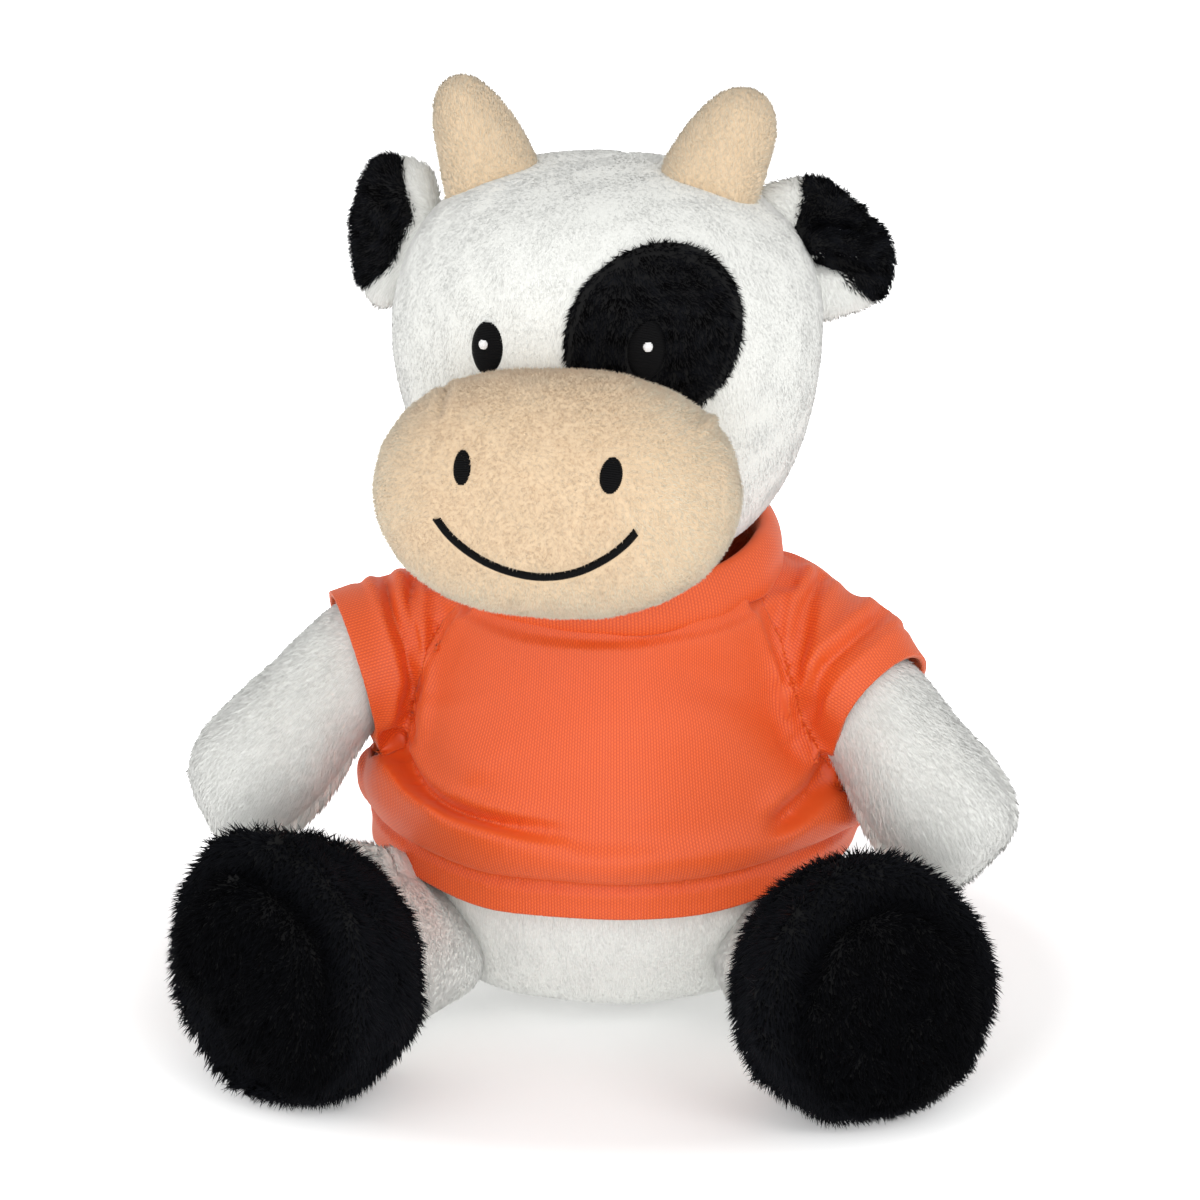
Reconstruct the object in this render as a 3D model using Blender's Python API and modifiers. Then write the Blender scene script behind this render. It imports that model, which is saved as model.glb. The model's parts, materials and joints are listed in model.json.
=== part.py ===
"""A plush cow that sits in a knitted shirt.

The toy is sewn plush over fibre filling, with a bag of pellets in its seat. It faces -Y, its own
left is +X, and it rests on the flat of its seat at z = 0. Lengths are in metres.
"""
import math

import bmesh
import bpy
from mathutils import Matrix, Vector

# Cloth, thread and the gap that touching pieces keep
GAP = 0.0003
PLUSH = 0.0020
APPLIQUE = 0.0012
KNIT = 0.0012
THREAD = 0.0008
GLINT_THREAD = 0.0005
SOCKET_GAP = 0.00075
ROOM_GAP = 0.0001
CUT_OVERRUN = 0.006
WELD_REACH = 0.00002
FLAT_DEPTH = 0.0005

# Torso: a pear on a flat seat, with a round neck that the head turns on
TORSO_WIDTH = 0.0850
TORSO_DEPTH = 0.0770
NECK_HEIGHT = 0.0840
TORSO_ABOVE_NECK = 0.0035
TORSO_HEIGHT = NECK_HEIGHT + TORSO_ABOVE_NECK
NECK_RADIUS = 0.0145
NECK_WAD_RADIUS = 0.0080
NECK_STEM_RADIUS = 0.0050
NECK_STEM_LENGTH = 0.0132
TORSO_SHARES = (
    (0.00, 0.00, 0.00, 0.00), (-0.005, 0.42, 0.38, 0.00), (0.045, 0.77, 0.69, 0.00),
    (0.185, 0.98, 0.94, 0.00), (0.35, 1.03, 1.03, 0.00), (0.54, 0.96, 0.94, 0.00),
    (0.70, 0.84, 0.80, 0.01), (0.83, 0.66, 0.64, 0.01),
)

# Pellet bag in the seat
BAG_WIDTH = 0.034
BAG_DEPTH = 0.027
BAG_HEIGHT = 0.014
BAG_BACK = 0.004
BAG_SHARES = (
    (0.00, 0.00, 0.00, 0.00), (-0.02, 0.62, 0.62, 0.00), (0.30, 1.02, 1.02, 0.00),
    (0.70, 0.94, 0.94, 0.00), (0.97, 0.44, 0.44, 0.00), (1.00, 0.00, 0.00, 0.00),
)

# Head, turned a little on the neck as the toy sits
HEAD_TURN_DEG = -5.0
HEAD_WIDTH = 0.0816
HEAD_DEPTH = 0.0800
HEAD_HEIGHT = 0.0755
CHIN_ABOVE_NECK = 0.0012
HEAD_CHIN_HEIGHT = NECK_HEIGHT + CHIN_ABOVE_NECK
HEAD_TOP_HEIGHT = HEAD_CHIN_HEIGHT + HEAD_HEIGHT
HEAD_FORWARD = 0.0050
HEAD_SHARES = (
    (0.00, 0.00, 0.00, 0.00), (0.00, 0.45, 0.46, 0.00), (0.07, 0.69, 0.70, 0.00),
    (0.20, 0.86, 0.87, 0.00), (0.37, 0.97, 0.97, 0.00), (0.55, 1.02, 1.01, 0.00),
    (0.72, 0.99, 0.98, 0.00), (0.87, 0.84, 0.84, 0.00), (0.975, 0.55, 0.55, 0.00),
    (1.00, 0.00, 0.00, 0.00),
)

# Muzzle: a wide pillow sewn on the face; its stations run from inside the head to its front
MUZZLE_WIDTH = 0.0648
MUZZLE_HEIGHT = 0.0445
MUZZLE_LENGTH = 0.0500
MUZZLE_BACK = 0.0230
MUZZLE_ABOVE_CHIN = 0.0248
MUZZLE_LIFT = HEAD_CHIN_HEIGHT + MUZZLE_ABOVE_CHIN
MUZZLE_SQUARE_SHARE = 2.35
MUZZLE_SHARES = (
    (0.00, 0.00, 0.00, 0.00), (0.02, 0.50, 0.50, 0.00), (0.20, 0.86, 0.84, 0.00),
    (0.45, 1.03, 1.02, 0.00), (0.68, 1.04, 1.03, 0.00), (0.87, 0.88, 0.86, 0.00),
    (0.985, 0.52, 0.50, 0.00), (1.00, 0.00, 0.00, 0.00),
)

# Horns
HORN_SPREAD = 0.0205
HORN_BELOW_TOP = 0.0115
HORN_BASE_HEIGHT = HEAD_TOP_HEIGHT - HORN_BELOW_TOP
HORN_BACK = -0.0050
HORN_WIDTH = 0.0194
HORN_DEPTH = 0.0165
HORN_LENGTH = 0.0262
HORN_LEAN_DEG = 14.0
HORN_SHARES = (
    (0.00, 0.00, 0.00, 0.00), (0.02, 0.78, 0.78, 0.00), (0.22, 1.06, 1.06, 0.00),
    (0.48, 0.96, 0.96, 0.00), (0.74, 0.80, 0.80, 0.00), (0.96, 0.56, 0.56, 0.00),
    (1.00, 0.00, 0.00, 0.00),
)

# Ears: a white back and a black front, sewn in the seam at the side of the head
EAR_SPREAD = 0.0340
EAR_BELOW_TOP = 0.0175
EAR_HEIGHT = HEAD_TOP_HEIGHT - EAR_BELOW_TOP
EAR_BACK = 0.0065
EAR_LENGTH = 0.0190
EAR_WIDTH = 0.0270
EAR_THICKNESS = 0.0078
EAR_DROOP_DEG = 12.0
EAR_FORWARD_DEG = -24.0
EAR_SEAT_GAP = 0.0007
EAR_SHARES = (
    (0.00, 0.00, 0.00, 0.00), (0.02, 0.55, 0.24, 0.00), (0.20, 0.92, 0.56, 0.00),
    (0.45, 1.10, 1.00, 0.00), (0.72, 0.98, 0.98, 0.00), (0.95, 0.56, 0.62, 0.00),
    (1.00, 0.00, 0.00, 0.00),
)

# Face: black patch round the left eye, satin-stitched eyes, nostrils and smile
PATCH_CENTRE_X = 0.0142
PATCH_ABOVE_CHIN = 0.0503
PATCH_CENTRE_HEIGHT = HEAD_CHIN_HEIGHT + PATCH_ABOVE_CHIN
PATCH_WIDTH = 0.0296
PATCH_TALL = 0.0312
PATCH_TILT_DEG = -18.0
PATCH_SQUARE_SHARE = 2.2
EYE_SPREAD = 0.0142
EYE_ABOVE_CHIN = 0.0494
EYE_HEIGHT = HEAD_CHIN_HEIGHT + EYE_ABOVE_CHIN
EYE_WIDTH = 0.0062
EYE_TALL = 0.0084
GLINT_WIDTH = 0.0015
NOSTRIL_SPREAD = 0.0131
NOSTRIL_RISE = 0.0094
NOSTRIL_HEIGHT = MUZZLE_LIFT + NOSTRIL_RISE
NOSTRIL_WIDTH = 0.0037
NOSTRIL_TALL = 0.0056
SMILE_SPREAD = 0.0176
SMILE_SINK = 0.0006
SMILE_HEIGHT = MUZZLE_LIFT - SMILE_SINK
SMILE_DROP = 0.0088
SMILE_LINE = 0.0013
FACE_START = 0.0300
FACE_REACH = 0.0600

# Arms: stuffed clubs whose round roots turn in the shoulders
SHOULDER_INSET = 0.0110
SHOULDER_SPREAD = TORSO_WIDTH / 2.0 - SHOULDER_INSET
SHOULDER_BELOW_NECK = 0.0175
SHOULDER_HEIGHT = NECK_HEIGHT - SHOULDER_BELOW_NECK
SHOULDER_FORWARD = 0.0020
ARM_RADIUS = 0.0122
ARM_WIDTH = 0.0258
ARM_LENGTH = 0.0555
ARM_FORWARD_DEG = 26.0
ARM_DROP_LEFT_DEG = 35.0
ARM_DROP_RIGHT_DEG = 29.0
ARM_SHARES = (
    (0.33, 0.98, 0.96, 0.00), (0.62, 1.06, 1.02, 0.00), (0.86, 0.96, 0.92, 0.00),
    (0.985, 0.58, 0.56, 0.00), (1.00, 0.00, 0.00, 0.00),
)

# Legs and feet
HIP_INSET = 0.0105
HIP_SPREAD = TORSO_WIDTH / 2.0 - HIP_INSET
HIP_HEIGHT = 0.0131
HIP_BEHIND_FRONT = 0.0160
HIP_FORWARD = TORSO_DEPTH / 2.0 - HIP_BEHIND_FRONT
HIP_RADIUS = 0.0122
HIP_SWINGS_DEG = (-15.0, -3.0, 9.0, 21.0)
LEG_WIDTH = 0.0340
LEG_LENGTH = 0.0400
LEG_SPLAY_DEG = 27.0
LEG_RISE_DEG = 9.0
LEG_SHARES = (
    (0.34, 0.82, 0.82, 0.00), (0.68, 0.99, 0.99, 0.00), (0.97, 0.86, 0.86, 0.00),
    (1.00, 0.00, 0.00, 0.00),
)
FOOT_REACH = 0.0415
FOOT_WIDTH = 0.0436
FOOT_TALL = 0.0450
FOOT_LENGTH = 0.0400
FOOT_RISE_DEG = 8.0
FOOT_SOLE_SHARE = 0.80
FOOT_SWELL_SHARE = 1.005
FOOT_SHARES = (
    (0.00, 0.00, 0.00, 0.00), (0.01, 0.55, 0.55, 0.00), (0.18, 0.86, 0.86, 0.00),
    (0.42, 1.03, 1.02, 0.00), (0.68, 1.04, 1.04, 0.00), (0.90, 0.90, 0.90, 0.00),
    (0.99, 0.56, 0.56, 0.00), (1.00, 0.00, 0.00, 0.00),
)

# Tail, sewn in the back seam
TAIL_HEIGHT = 0.0190
TAIL_INSET = 0.0025
TAIL_BACK = TORSO_DEPTH / 2.0 - TAIL_INSET
TAIL_RADIUS = 0.0034
TAIL_LENGTH = 0.0140
TAIL_FALL_DEG = 26.0
TAIL_TAPER_SHARE = 0.85
TUFT_WIDTH = 0.0110
TUFT_LENGTH = 0.0150
TUFT_SHARES = (
    (0.00, 0.00, 0.00, 0.00), (0.03, 0.50, 0.50, 0.00), (0.34, 1.04, 1.04, 0.00),
    (0.72, 0.82, 0.82, 0.00), (0.98, 0.36, 0.36, 0.00), (1.00, 0.00, 0.00, 0.00),
)

# Shirt: front and back panels, raglan sleeves and a rolled neckband
SHIRT_WIDTH_EASE = 0.0053
SHIRT_WIDTH = TORSO_WIDTH + SHIRT_WIDTH_EASE
SHIRT_DEPTH_EASE = 0.0048
SHIRT_DEPTH = TORSO_DEPTH + SHIRT_DEPTH_EASE
SHIRT_HEM_HEIGHT = 0.0262
SHIRT_ABOVE_NECK = 0.0045
SHIRT_NECK_HEIGHT = NECK_HEIGHT + SHIRT_ABOVE_NECK
SLEEVE_SLACK = 0.0014
SLEEVE_LENGTH_LEFT = 0.0200
SLEEVE_LENGTH_RIGHT = 0.0165
SLEEVE_DROP_RIGHT_DEG = 25.0
SLEEVE_FLARE = 0.0020
SLEEVE_ROOT = 0.0110
SHIRT_SHARES = (
    (0.00, 0.975, 0.95), (0.075, 0.995, 0.98), (0.17, 1.00, 1.00), (0.295, 0.965, 0.985),
    (0.42, 0.905, 0.945), (0.55, 0.845, 0.885), (0.675, 0.785, 0.83), (0.795, 0.735, 0.79),
    (0.90, 0.690, 0.760), (1.00, 0.660, 0.735),
)
SHIRT_COLUMNS = 32
COLLAR_RADIUS = 0.0310
COLLAR_TALL = 0.0088
COLLAR_THICK = 0.0030
COLLAR_ABOVE_NECK = 0.0022
COLLAR_HEIGHT = NECK_HEIGHT + COLLAR_ABOVE_NECK
COLLAR_TILT_DEG = 9.0

SIDES = ((1.0, "left"), (-1.0, "right"))
FORM_COLUMNS = 10
SMALL_COLUMNS = 8
ROUND_ROWS = 3
BALL_SEGMENTS = 16
BALL_RINGS = 8
OUTLINE_POINTS = 20
SMALL_OUTLINE_POINTS = 10

WHITE_PLUSH = (0.78, 0.80, 0.76)
BLACK_PLUSH = (0.006, 0.006, 0.007)
PEACH_PLUSH = (0.80, 0.60, 0.38)
ORANGE_KNIT = (0.88, 0.105, 0.018)
FIBRE = (0.86, 0.86, 0.84)
PELLET_CLOTH = (0.60, 0.60, 0.58)
BLACK_THREAD = (0.008, 0.008, 0.009)
WHITE_THREAD = (0.85, 0.85, 0.85)


def clear_scene():
    for thing in list(bpy.data.objects):
        bpy.data.objects.remove(thing, do_unlink=True)


def new_collection(name):
    collection = bpy.data.collections.new(name)
    bpy.context.scene.collection.children.link(collection)
    return collection


def cloth_material(name, colour, roughness):
    material = bpy.data.materials.new(name)
    material.use_nodes = True
    shader = material.node_tree.nodes["Principled BSDF"]
    shader.inputs["Base Color"].default_value = (*colour, 1.0)
    shader.inputs["Roughness"].default_value = roughness
    shader.inputs["Metallic"].default_value = 0.0
    return material


def add_object(name, mesh, owner=None):
    """A named object of the toy, or a hidden cutter when it has no owner material."""
    thing = bpy.data.objects.new(name, mesh)
    if owner is None:
        CUTTERS.objects.link(thing)
        thing.hide_render = True
        thing.display_type = "WIRE"
    else:
        TOY.objects.link(thing)
        mesh.materials.append(owner)
    return thing


def empty_at(name, place, turn=None):
    """An empty on a joint or at a sewn frame; the pieces that move with it are its children."""
    marker = bpy.data.objects.new(name, None)
    TOY.objects.link(marker)
    marker.location = place
    if turn is not None:
        marker.rotation_euler = turn.to_euler()
    return marker


def superellipse(angle, square):
    """Point on a unit outline that is an ellipse at 2 and squarer above it."""
    across = math.copysign(abs(math.cos(angle)) ** (2.0 / square), math.cos(angle))
    along = math.copysign(abs(math.sin(angle)) ** (2.0 / square), math.sin(angle))
    return across, along


def smoothed_spread(step_angle):
    """How far outside a circle a cage stands that smooths down onto it."""
    return 3.0 / (2.0 + math.cos(step_angle))


def share_rows(sizes, shares, grow):
    """Rows of height, half width, half depth and forward shift, of a form grown all round."""
    width, depth, height = (size + 2.0 * grow for size in sizes)
    return [(h * height - grow, w * width / 2.0, d * depth / 2.0, f * depth) for h, w, d, f in shares]


def round_rows(radius, centre, sign, beyond=0):
    """Rows of a ball, from its pole to its widest row or some rows beyond it."""
    step = math.pi / 2.0 / ROUND_ROWS
    cage = radius * smoothed_spread(step)
    rows = []
    for index in range(ROUND_ROWS + 1 + beyond):
        wide = cage * math.sin(index * step)
        rows.append((centre + sign * cage * math.cos(index * step), wide, wide, 0.0))
    return rows


def settled_rows(rows):
    """Where a smoothed cage comes to lie at its own rows."""
    settled = [tuple((2.0 * rows[0][0] + rows[1][0]) / 3.0 if k == 0 else v for k, v in enumerate(rows[0]))]
    for before, here, after in zip(rows, rows[1:], rows[2:]):
        settled.append(tuple((a + 4.0 * b + c) / 6.0 for a, b, c in zip(before, here, after)))
    settled.append(tuple((2.0 * rows[-1][0] + rows[-2][0]) / 3.0 if k == 0 else v
                         for k, v in enumerate(rows[-1])))
    return settled


def row_form(name, rows, owner=None, columns=FORM_COLUMNS, square=2.0, fine=True):
    """A stuffed form round local Z, from its lowest row to its highest; both are poles."""
    rows = rows if fine else settled_rows(rows)
    spread = smoothed_spread(math.tau / columns) if fine else 1.0
    steps = len(rows) - 1
    cage = bmesh.new()
    bmesh.ops.create_uvsphere(cage, u_segments=columns, v_segments=steps, radius=1.0)
    for vertex in cage.verts:
        latitude = math.acos(max(-1.0, min(1.0, vertex.co.z)))
        height, wide, deep, forward = rows[steps - round(latitude * steps / math.pi)]
        across, along = superellipse(math.atan2(vertex.co.y, vertex.co.x), square)
        vertex.co = (across * wide * spread, along * deep * spread - forward, height)
    mesh = bpy.data.meshes.new(name)
    cage.to_mesh(mesh)
    cage.free()
    mesh.shade_smooth()
    form = add_object(name, mesh, owner)
    if fine:
        smooth = form.modifiers.new("Soft", "SUBSURF")
        smooth.levels = 1
        smooth.render_levels = 1
    return form


def place(thing, parent=None, at=(0.0, 0.0, 0.0), turn=None):
    thing.location = at
    if turn is not None:
        thing.rotation_euler = turn.to_euler()
    thing.parent = parent
    return thing


def towards(direction, upright="Y"):
    """Rotation that points local Z along a direction."""
    return Vector(direction).to_track_quat("Z", upright).to_matrix()


def ball(name, radius, owner=None):
    sphere = bmesh.new()
    bmesh.ops.create_uvsphere(sphere, u_segments=BALL_SEGMENTS, v_segments=BALL_RINGS, radius=radius)
    mesh = bpy.data.meshes.new(name)
    sphere.to_mesh(mesh)
    sphere.free()
    mesh.shade_smooth()
    return add_object(name, mesh, owner)


def tube(name, radius_low, radius_high, low, high, owner=None):
    """A closed cone or cylinder round local Z, from one height to another."""
    cone = bmesh.new()
    bmesh.ops.create_cone(cone, cap_ends=True, segments=BALL_SEGMENTS, radius1=radius_low,
                          radius2=radius_high, depth=high - low)
    bmesh.ops.translate(cone, verts=cone.verts, vec=(0.0, 0.0, (low + high) / 2.0))
    mesh = bpy.data.meshes.new(name)
    cone.to_mesh(mesh)
    cone.free()
    mesh.shade_smooth()
    return add_object(name, mesh, owner)


def block(name, low, high, owner=None):
    """A box between two corners."""
    box = bmesh.new()
    bmesh.ops.create_cube(box, size=1.0)
    middle = [(a + b) / 2.0 for a, b in zip(low, high)]
    bmesh.ops.scale(box, verts=box.verts, vec=[b - a for a, b in zip(low, high)])
    bmesh.ops.translate(box, verts=box.verts, vec=middle)
    mesh = bpy.data.meshes.new(name)
    box.to_mesh(mesh)
    box.free()
    return add_object(name, mesh, owner)


def boolean(thing, operation, other, solver="EXACT"):
    step = thing.modifiers.new(operation.title(), "BOOLEAN")
    step.operation = operation
    step.object = other
    step.solver = solver
    return thing


def cut(thing, *cutters):
    for cutter in cutters:
        boolean(thing, "DIFFERENCE", cutter)
    return thing


def keep_within(thing, *guides):
    for guide in guides:
        boolean(thing, "INTERSECT", guide)
    return thing


def join(thing, *others):
    for other in others:
        boolean(thing, "UNION", other)
    return thing


def weld_cuts():
    """Merge the corners that the cuts leave on top of each other."""
    for piece in TOY.objects:
        if any(step.type == "BOOLEAN" for step in piece.modifiers):
            weld = piece.modifiers.new("Cut corners", "WELD")
            weld.merge_threshold = WELD_REACH


def floor_cutter():
    reach = TORSO_WIDTH + LEG_LENGTH + FOOT_LENGTH
    return block("floor_cutter", (-reach, -reach, -CUT_OVERRUN), (reach, reach, 0.0))


def torso_form(name, grow, owner=None, fine=True):
    sizes = (TORSO_WIDTH, TORSO_DEPTH, TORSO_HEIGHT)
    rows = share_rows(sizes, TORSO_SHARES, grow)
    neck = round_rows(NECK_RADIUS + grow, NECK_HEIGHT + FLAT_DEPTH, 1.0, beyond=1)
    form = row_form(name, rows + neck[::-1], owner, fine=fine)
    return place(form, at=(0.0, 0.0, -FLAT_DEPTH))


def neck_ball(name, radius, owner=None):
    return place(ball(name, radius, owner), at=(0.0, 0.0, NECK_HEIGHT))


def shoulder_place(side):
    return Vector((side * SHOULDER_SPREAD, -SHOULDER_FORWARD, SHOULDER_HEIGHT))


def hip_place(side):
    return Vector((side * HIP_SPREAD, -HIP_FORWARD, HIP_HEIGHT))


def around_ball(radius):
    """Radius of a faceted ball whose flats lie at the given radius."""
    return radius / (math.cos(math.pi / BALL_SEGMENTS) * math.cos(math.pi / (2.0 * BALL_RINGS)))


def socket_radius(radius):
    """A socket that stays clear of the faceted root that turns in it."""
    return around_ball(radius + SOCKET_GAP)


def root_room(name, radius, at):
    """Room for a limb's own round root, a little smaller than its socket."""
    return place(ball(name, around_ball(radius + ROOM_GAP)), at=at)


def root_cutters():
    """Sockets that the arms, the legs and the tail turn in."""
    sockets = []
    for side, word in SIDES:
        sockets.append(place(ball(f"shoulder_socket_{word}", socket_radius(ARM_RADIUS)), at=shoulder_place(side)))
        sockets.append(place(ball(f"hip_socket_{word}", socket_radius(HIP_RADIUS)), at=hip_place(side)))
    tail_socket = ball("tail_socket", socket_radius(TAIL_RADIUS))
    sockets.append(place(tail_socket, at=(0.0, TAIL_BACK, TAIL_HEIGHT)))
    return sockets


def make_neck_wad():
    """The firm wad of filling in the neck: a ball with a stem up to the head."""
    wad = neck_ball("neck_wad", NECK_WAD_RADIUS, MATERIALS["fibre"])
    stem = tube("neck_stem", NECK_STEM_RADIUS, NECK_STEM_RADIUS, 0.0, NECK_STEM_LENGTH)
    join(wad, place(stem, at=(0.0, 0.0, NECK_HEIGHT)))


def make_torso(floor):
    sockets = root_cutters()
    skin = torso_form("torso_skin", 0.0, MATERIALS["white"])
    cavity = torso_form("torso_cavity", GAP - PLUSH, fine=False)
    bore = socket_radius(NECK_STEM_RADIUS)
    channel = tube("neck_channel", bore, bore, 0.0, NECK_RADIUS + CUT_OVERRUN)
    place(channel, at=(0.0, 0.0, NECK_HEIGHT))
    cut(skin, cavity, channel, floor, *sockets)
    filling = torso_form("torso_filling", -PLUSH, MATERIALS["fibre"], fine=False)
    wad_pocket = neck_ball("neck_wad_pocket", socket_radius(NECK_WAD_RADIUS))
    opening = tube("pellet_opening", BAG_DEPTH / 4.0, BAG_DEPTH / 4.0, -CUT_OVERRUN, BAG_HEIGHT / 2.0)
    place(opening, at=(0.0, BAG_BACK, PLUSH))
    cut(filling, wad_pocket, channel, pellet_form("pellet_pocket", GAP), opening, *sockets)
    pellet_form("pellet_bag", 0.0, MATERIALS["bag"])
    make_neck_wad()


def pellet_form(name, grow, owner=None):
    sizes = (BAG_WIDTH, BAG_DEPTH, BAG_HEIGHT)
    bag = row_form(name, share_rows(sizes, BAG_SHARES, grow), owner, columns=SMALL_COLUMNS, fine=False)
    return place(bag, at=(0.0, BAG_BACK, PLUSH))


def head_form(name, grow, owner=None, fine=True):
    sizes = (HEAD_WIDTH, HEAD_DEPTH, HEAD_HEIGHT)
    form = row_form(name, share_rows(sizes, HEAD_SHARES, grow), owner, fine=fine)
    return place(form, HEAD, (0.0, -HEAD_FORWARD, HEAD_CHIN_HEIGHT - NECK_HEIGHT))


def muzzle_form(name, grow, owner=None, fine=True):
    sizes = (MUZZLE_WIDTH, MUZZLE_HEIGHT, MUZZLE_LENGTH)
    rows = share_rows(sizes, MUZZLE_SHARES, grow)
    form = row_form(name, rows, owner, square=MUZZLE_SQUARE_SHARE, fine=fine)
    turn = Matrix.Rotation(math.pi / 2.0, 3, "X")
    return place(form, HEAD, (0.0, -MUZZLE_BACK, MUZZLE_LIFT - NECK_HEIGHT), turn)


def horn_form(name, side, grow, owner=None, fine=True):
    sizes = (HORN_WIDTH, HORN_DEPTH, HORN_LENGTH)
    rows = share_rows(sizes, HORN_SHARES, grow)
    form = row_form(name, rows, owner, columns=SMALL_COLUMNS, fine=fine)
    at = (side * HORN_SPREAD, HORN_BACK, HORN_BASE_HEIGHT - NECK_HEIGHT)
    return place(form, HEAD, at, Matrix.Rotation(side * math.radians(HORN_LEAN_DEG), 3, "Y"))


def make_head():
    seat = neck_ball("head_bowl", socket_radius(NECK_RADIUS))
    skin = head_form("head_skin", 0.0, MATERIALS["white"])
    cut(skin, head_form("head_cavity", GAP - PLUSH, fine=False), seat)
    cut(head_form("head_filling", -PLUSH, MATERIALS["fibre"], fine=False), seat)
    behind = head_form("head_outside", GAP)
    muzzle = muzzle_form("muzzle_skin", 0.0, MATERIALS["peach"])
    cut(muzzle, muzzle_form("muzzle_cavity", GAP - PLUSH, fine=False), behind)
    cut(muzzle_form("muzzle_filling", -PLUSH, MATERIALS["fibre"], fine=False), behind)
    for side, word in SIDES:
        horn = horn_form(f"horn_{word}_skin", side, 0.0, MATERIALS["peach"])
        cut(horn, horn_form(f"horn_{word}_cavity", side, GAP - PLUSH, fine=False), behind)
        filling = horn_form(f"horn_{word}_filling", side, -PLUSH, MATERIALS["fibre"], fine=False)
        cut(filling, behind)


def ear_direction(side):
    droop = math.radians(EAR_DROOP_DEG)
    forward = math.radians(EAR_FORWARD_DEG)
    flat = math.cos(droop)
    return Vector((side * flat * math.cos(forward), -flat * math.sin(forward), -math.sin(droop)))


def ear_frame(side):
    """Ear axes: Z along the ear, X across its width and Y through its thickness."""
    along = ear_direction(side)
    width = along.cross(Vector((0.0, 1.0, 0.0))).normalized()
    return Matrix((width, along.cross(width), along)).transposed()


def ear_form(name, side, owner=None):
    sizes = (EAR_WIDTH, EAR_THICKNESS, EAR_LENGTH)
    return row_form(name, share_rows(sizes, EAR_SHARES, 0.0), owner, columns=SMALL_COLUMNS)


def make_ears():
    seat = head_form("ear_seat", EAR_SEAT_GAP)
    for side, word in SIDES:
        hinge = empty_at(f"ear_{word}_hinge", (side * EAR_SPREAD, EAR_BACK, EAR_HEIGHT - NECK_HEIGHT))
        hinge.rotation_euler = ear_frame(side).to_euler()
        hinge.parent = HEAD
        front_sign = 1.0 if (ear_frame(side) @ Vector((0.0, 1.0, 0.0))).y < 0.0 else -1.0
        reach = EAR_LENGTH + CUT_OVERRUN
        for part, sign, owner in (("front", front_sign, "black"), ("back", -front_sign, "white")):
            half = ear_form(f"ear_{word}_{part}", side, MATERIALS[owner])
            near, far = sign * GAP / 2.0, sign * reach
            low = (-reach, min(near, far), -reach)
            keep = block(f"ear_{word}_{part}_keep", low, (reach, max(near, far), 2.0 * reach))
            keep_within(place(half, hinge), place(keep, hinge))
            boolean(half, "DIFFERENCE", seat, solver="MANIFOLD")


def outline_prism(name, points, reach):
    """A closed outline in the face's X and Z, extruded towards the front."""
    shape = bmesh.new()
    ring = [shape.verts.new((x, -FACE_START, z)) for x, z in points]
    face = shape.faces.new(ring)
    moved = bmesh.ops.extrude_face_region(shape, geom=[face])
    front = [part for part in moved["geom"] if isinstance(part, bmesh.types.BMVert)]
    bmesh.ops.translate(shape, verts=front, vec=(0.0, -reach, 0.0))
    bmesh.ops.recalc_face_normals(shape, faces=shape.faces)
    mesh = bpy.data.meshes.new(name)
    shape.to_mesh(mesh)
    shape.free()
    return place(add_object(name, mesh), HEAD, (0.0, 0.0, -NECK_HEIGHT))


def oval_points(centre, width, tall, count, tilt=0.0, square=2.0):
    points = []
    for step in range(count):
        across, along = superellipse(math.tau * step / count, square)
        x, z = across * width / 2.0, along * tall / 2.0
        turned_x = x * math.cos(tilt) - z * math.sin(tilt)
        turned_z = x * math.sin(tilt) + z * math.cos(tilt)
        points.append((centre[0] + turned_x, centre[1] + turned_z))
    return points


def smile_points(count):
    """The stitched smile: a shallow arc of even width, from corner to corner."""
    lower, upper = [], []
    for step in range(count + 1):
        share = 2.0 * step / count - 1.0
        x = share * SMILE_SPREAD
        z = SMILE_HEIGHT - SMILE_DROP * (1.0 - share * share)
        lower.append((x, z - SMILE_LINE / 2.0))
        upper.append((x, z + SMILE_LINE / 2.0))
    return lower + upper[::-1]


def stitched(name, base, outline, inner, outer, owner):
    """A thin layer on a stuffed form, as far as its outline reaches."""
    layer = base(name, outer, MATERIALS[owner])
    keep_within(layer, outline)
    return cut(layer, base(f"{name}_bed", inner))


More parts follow.
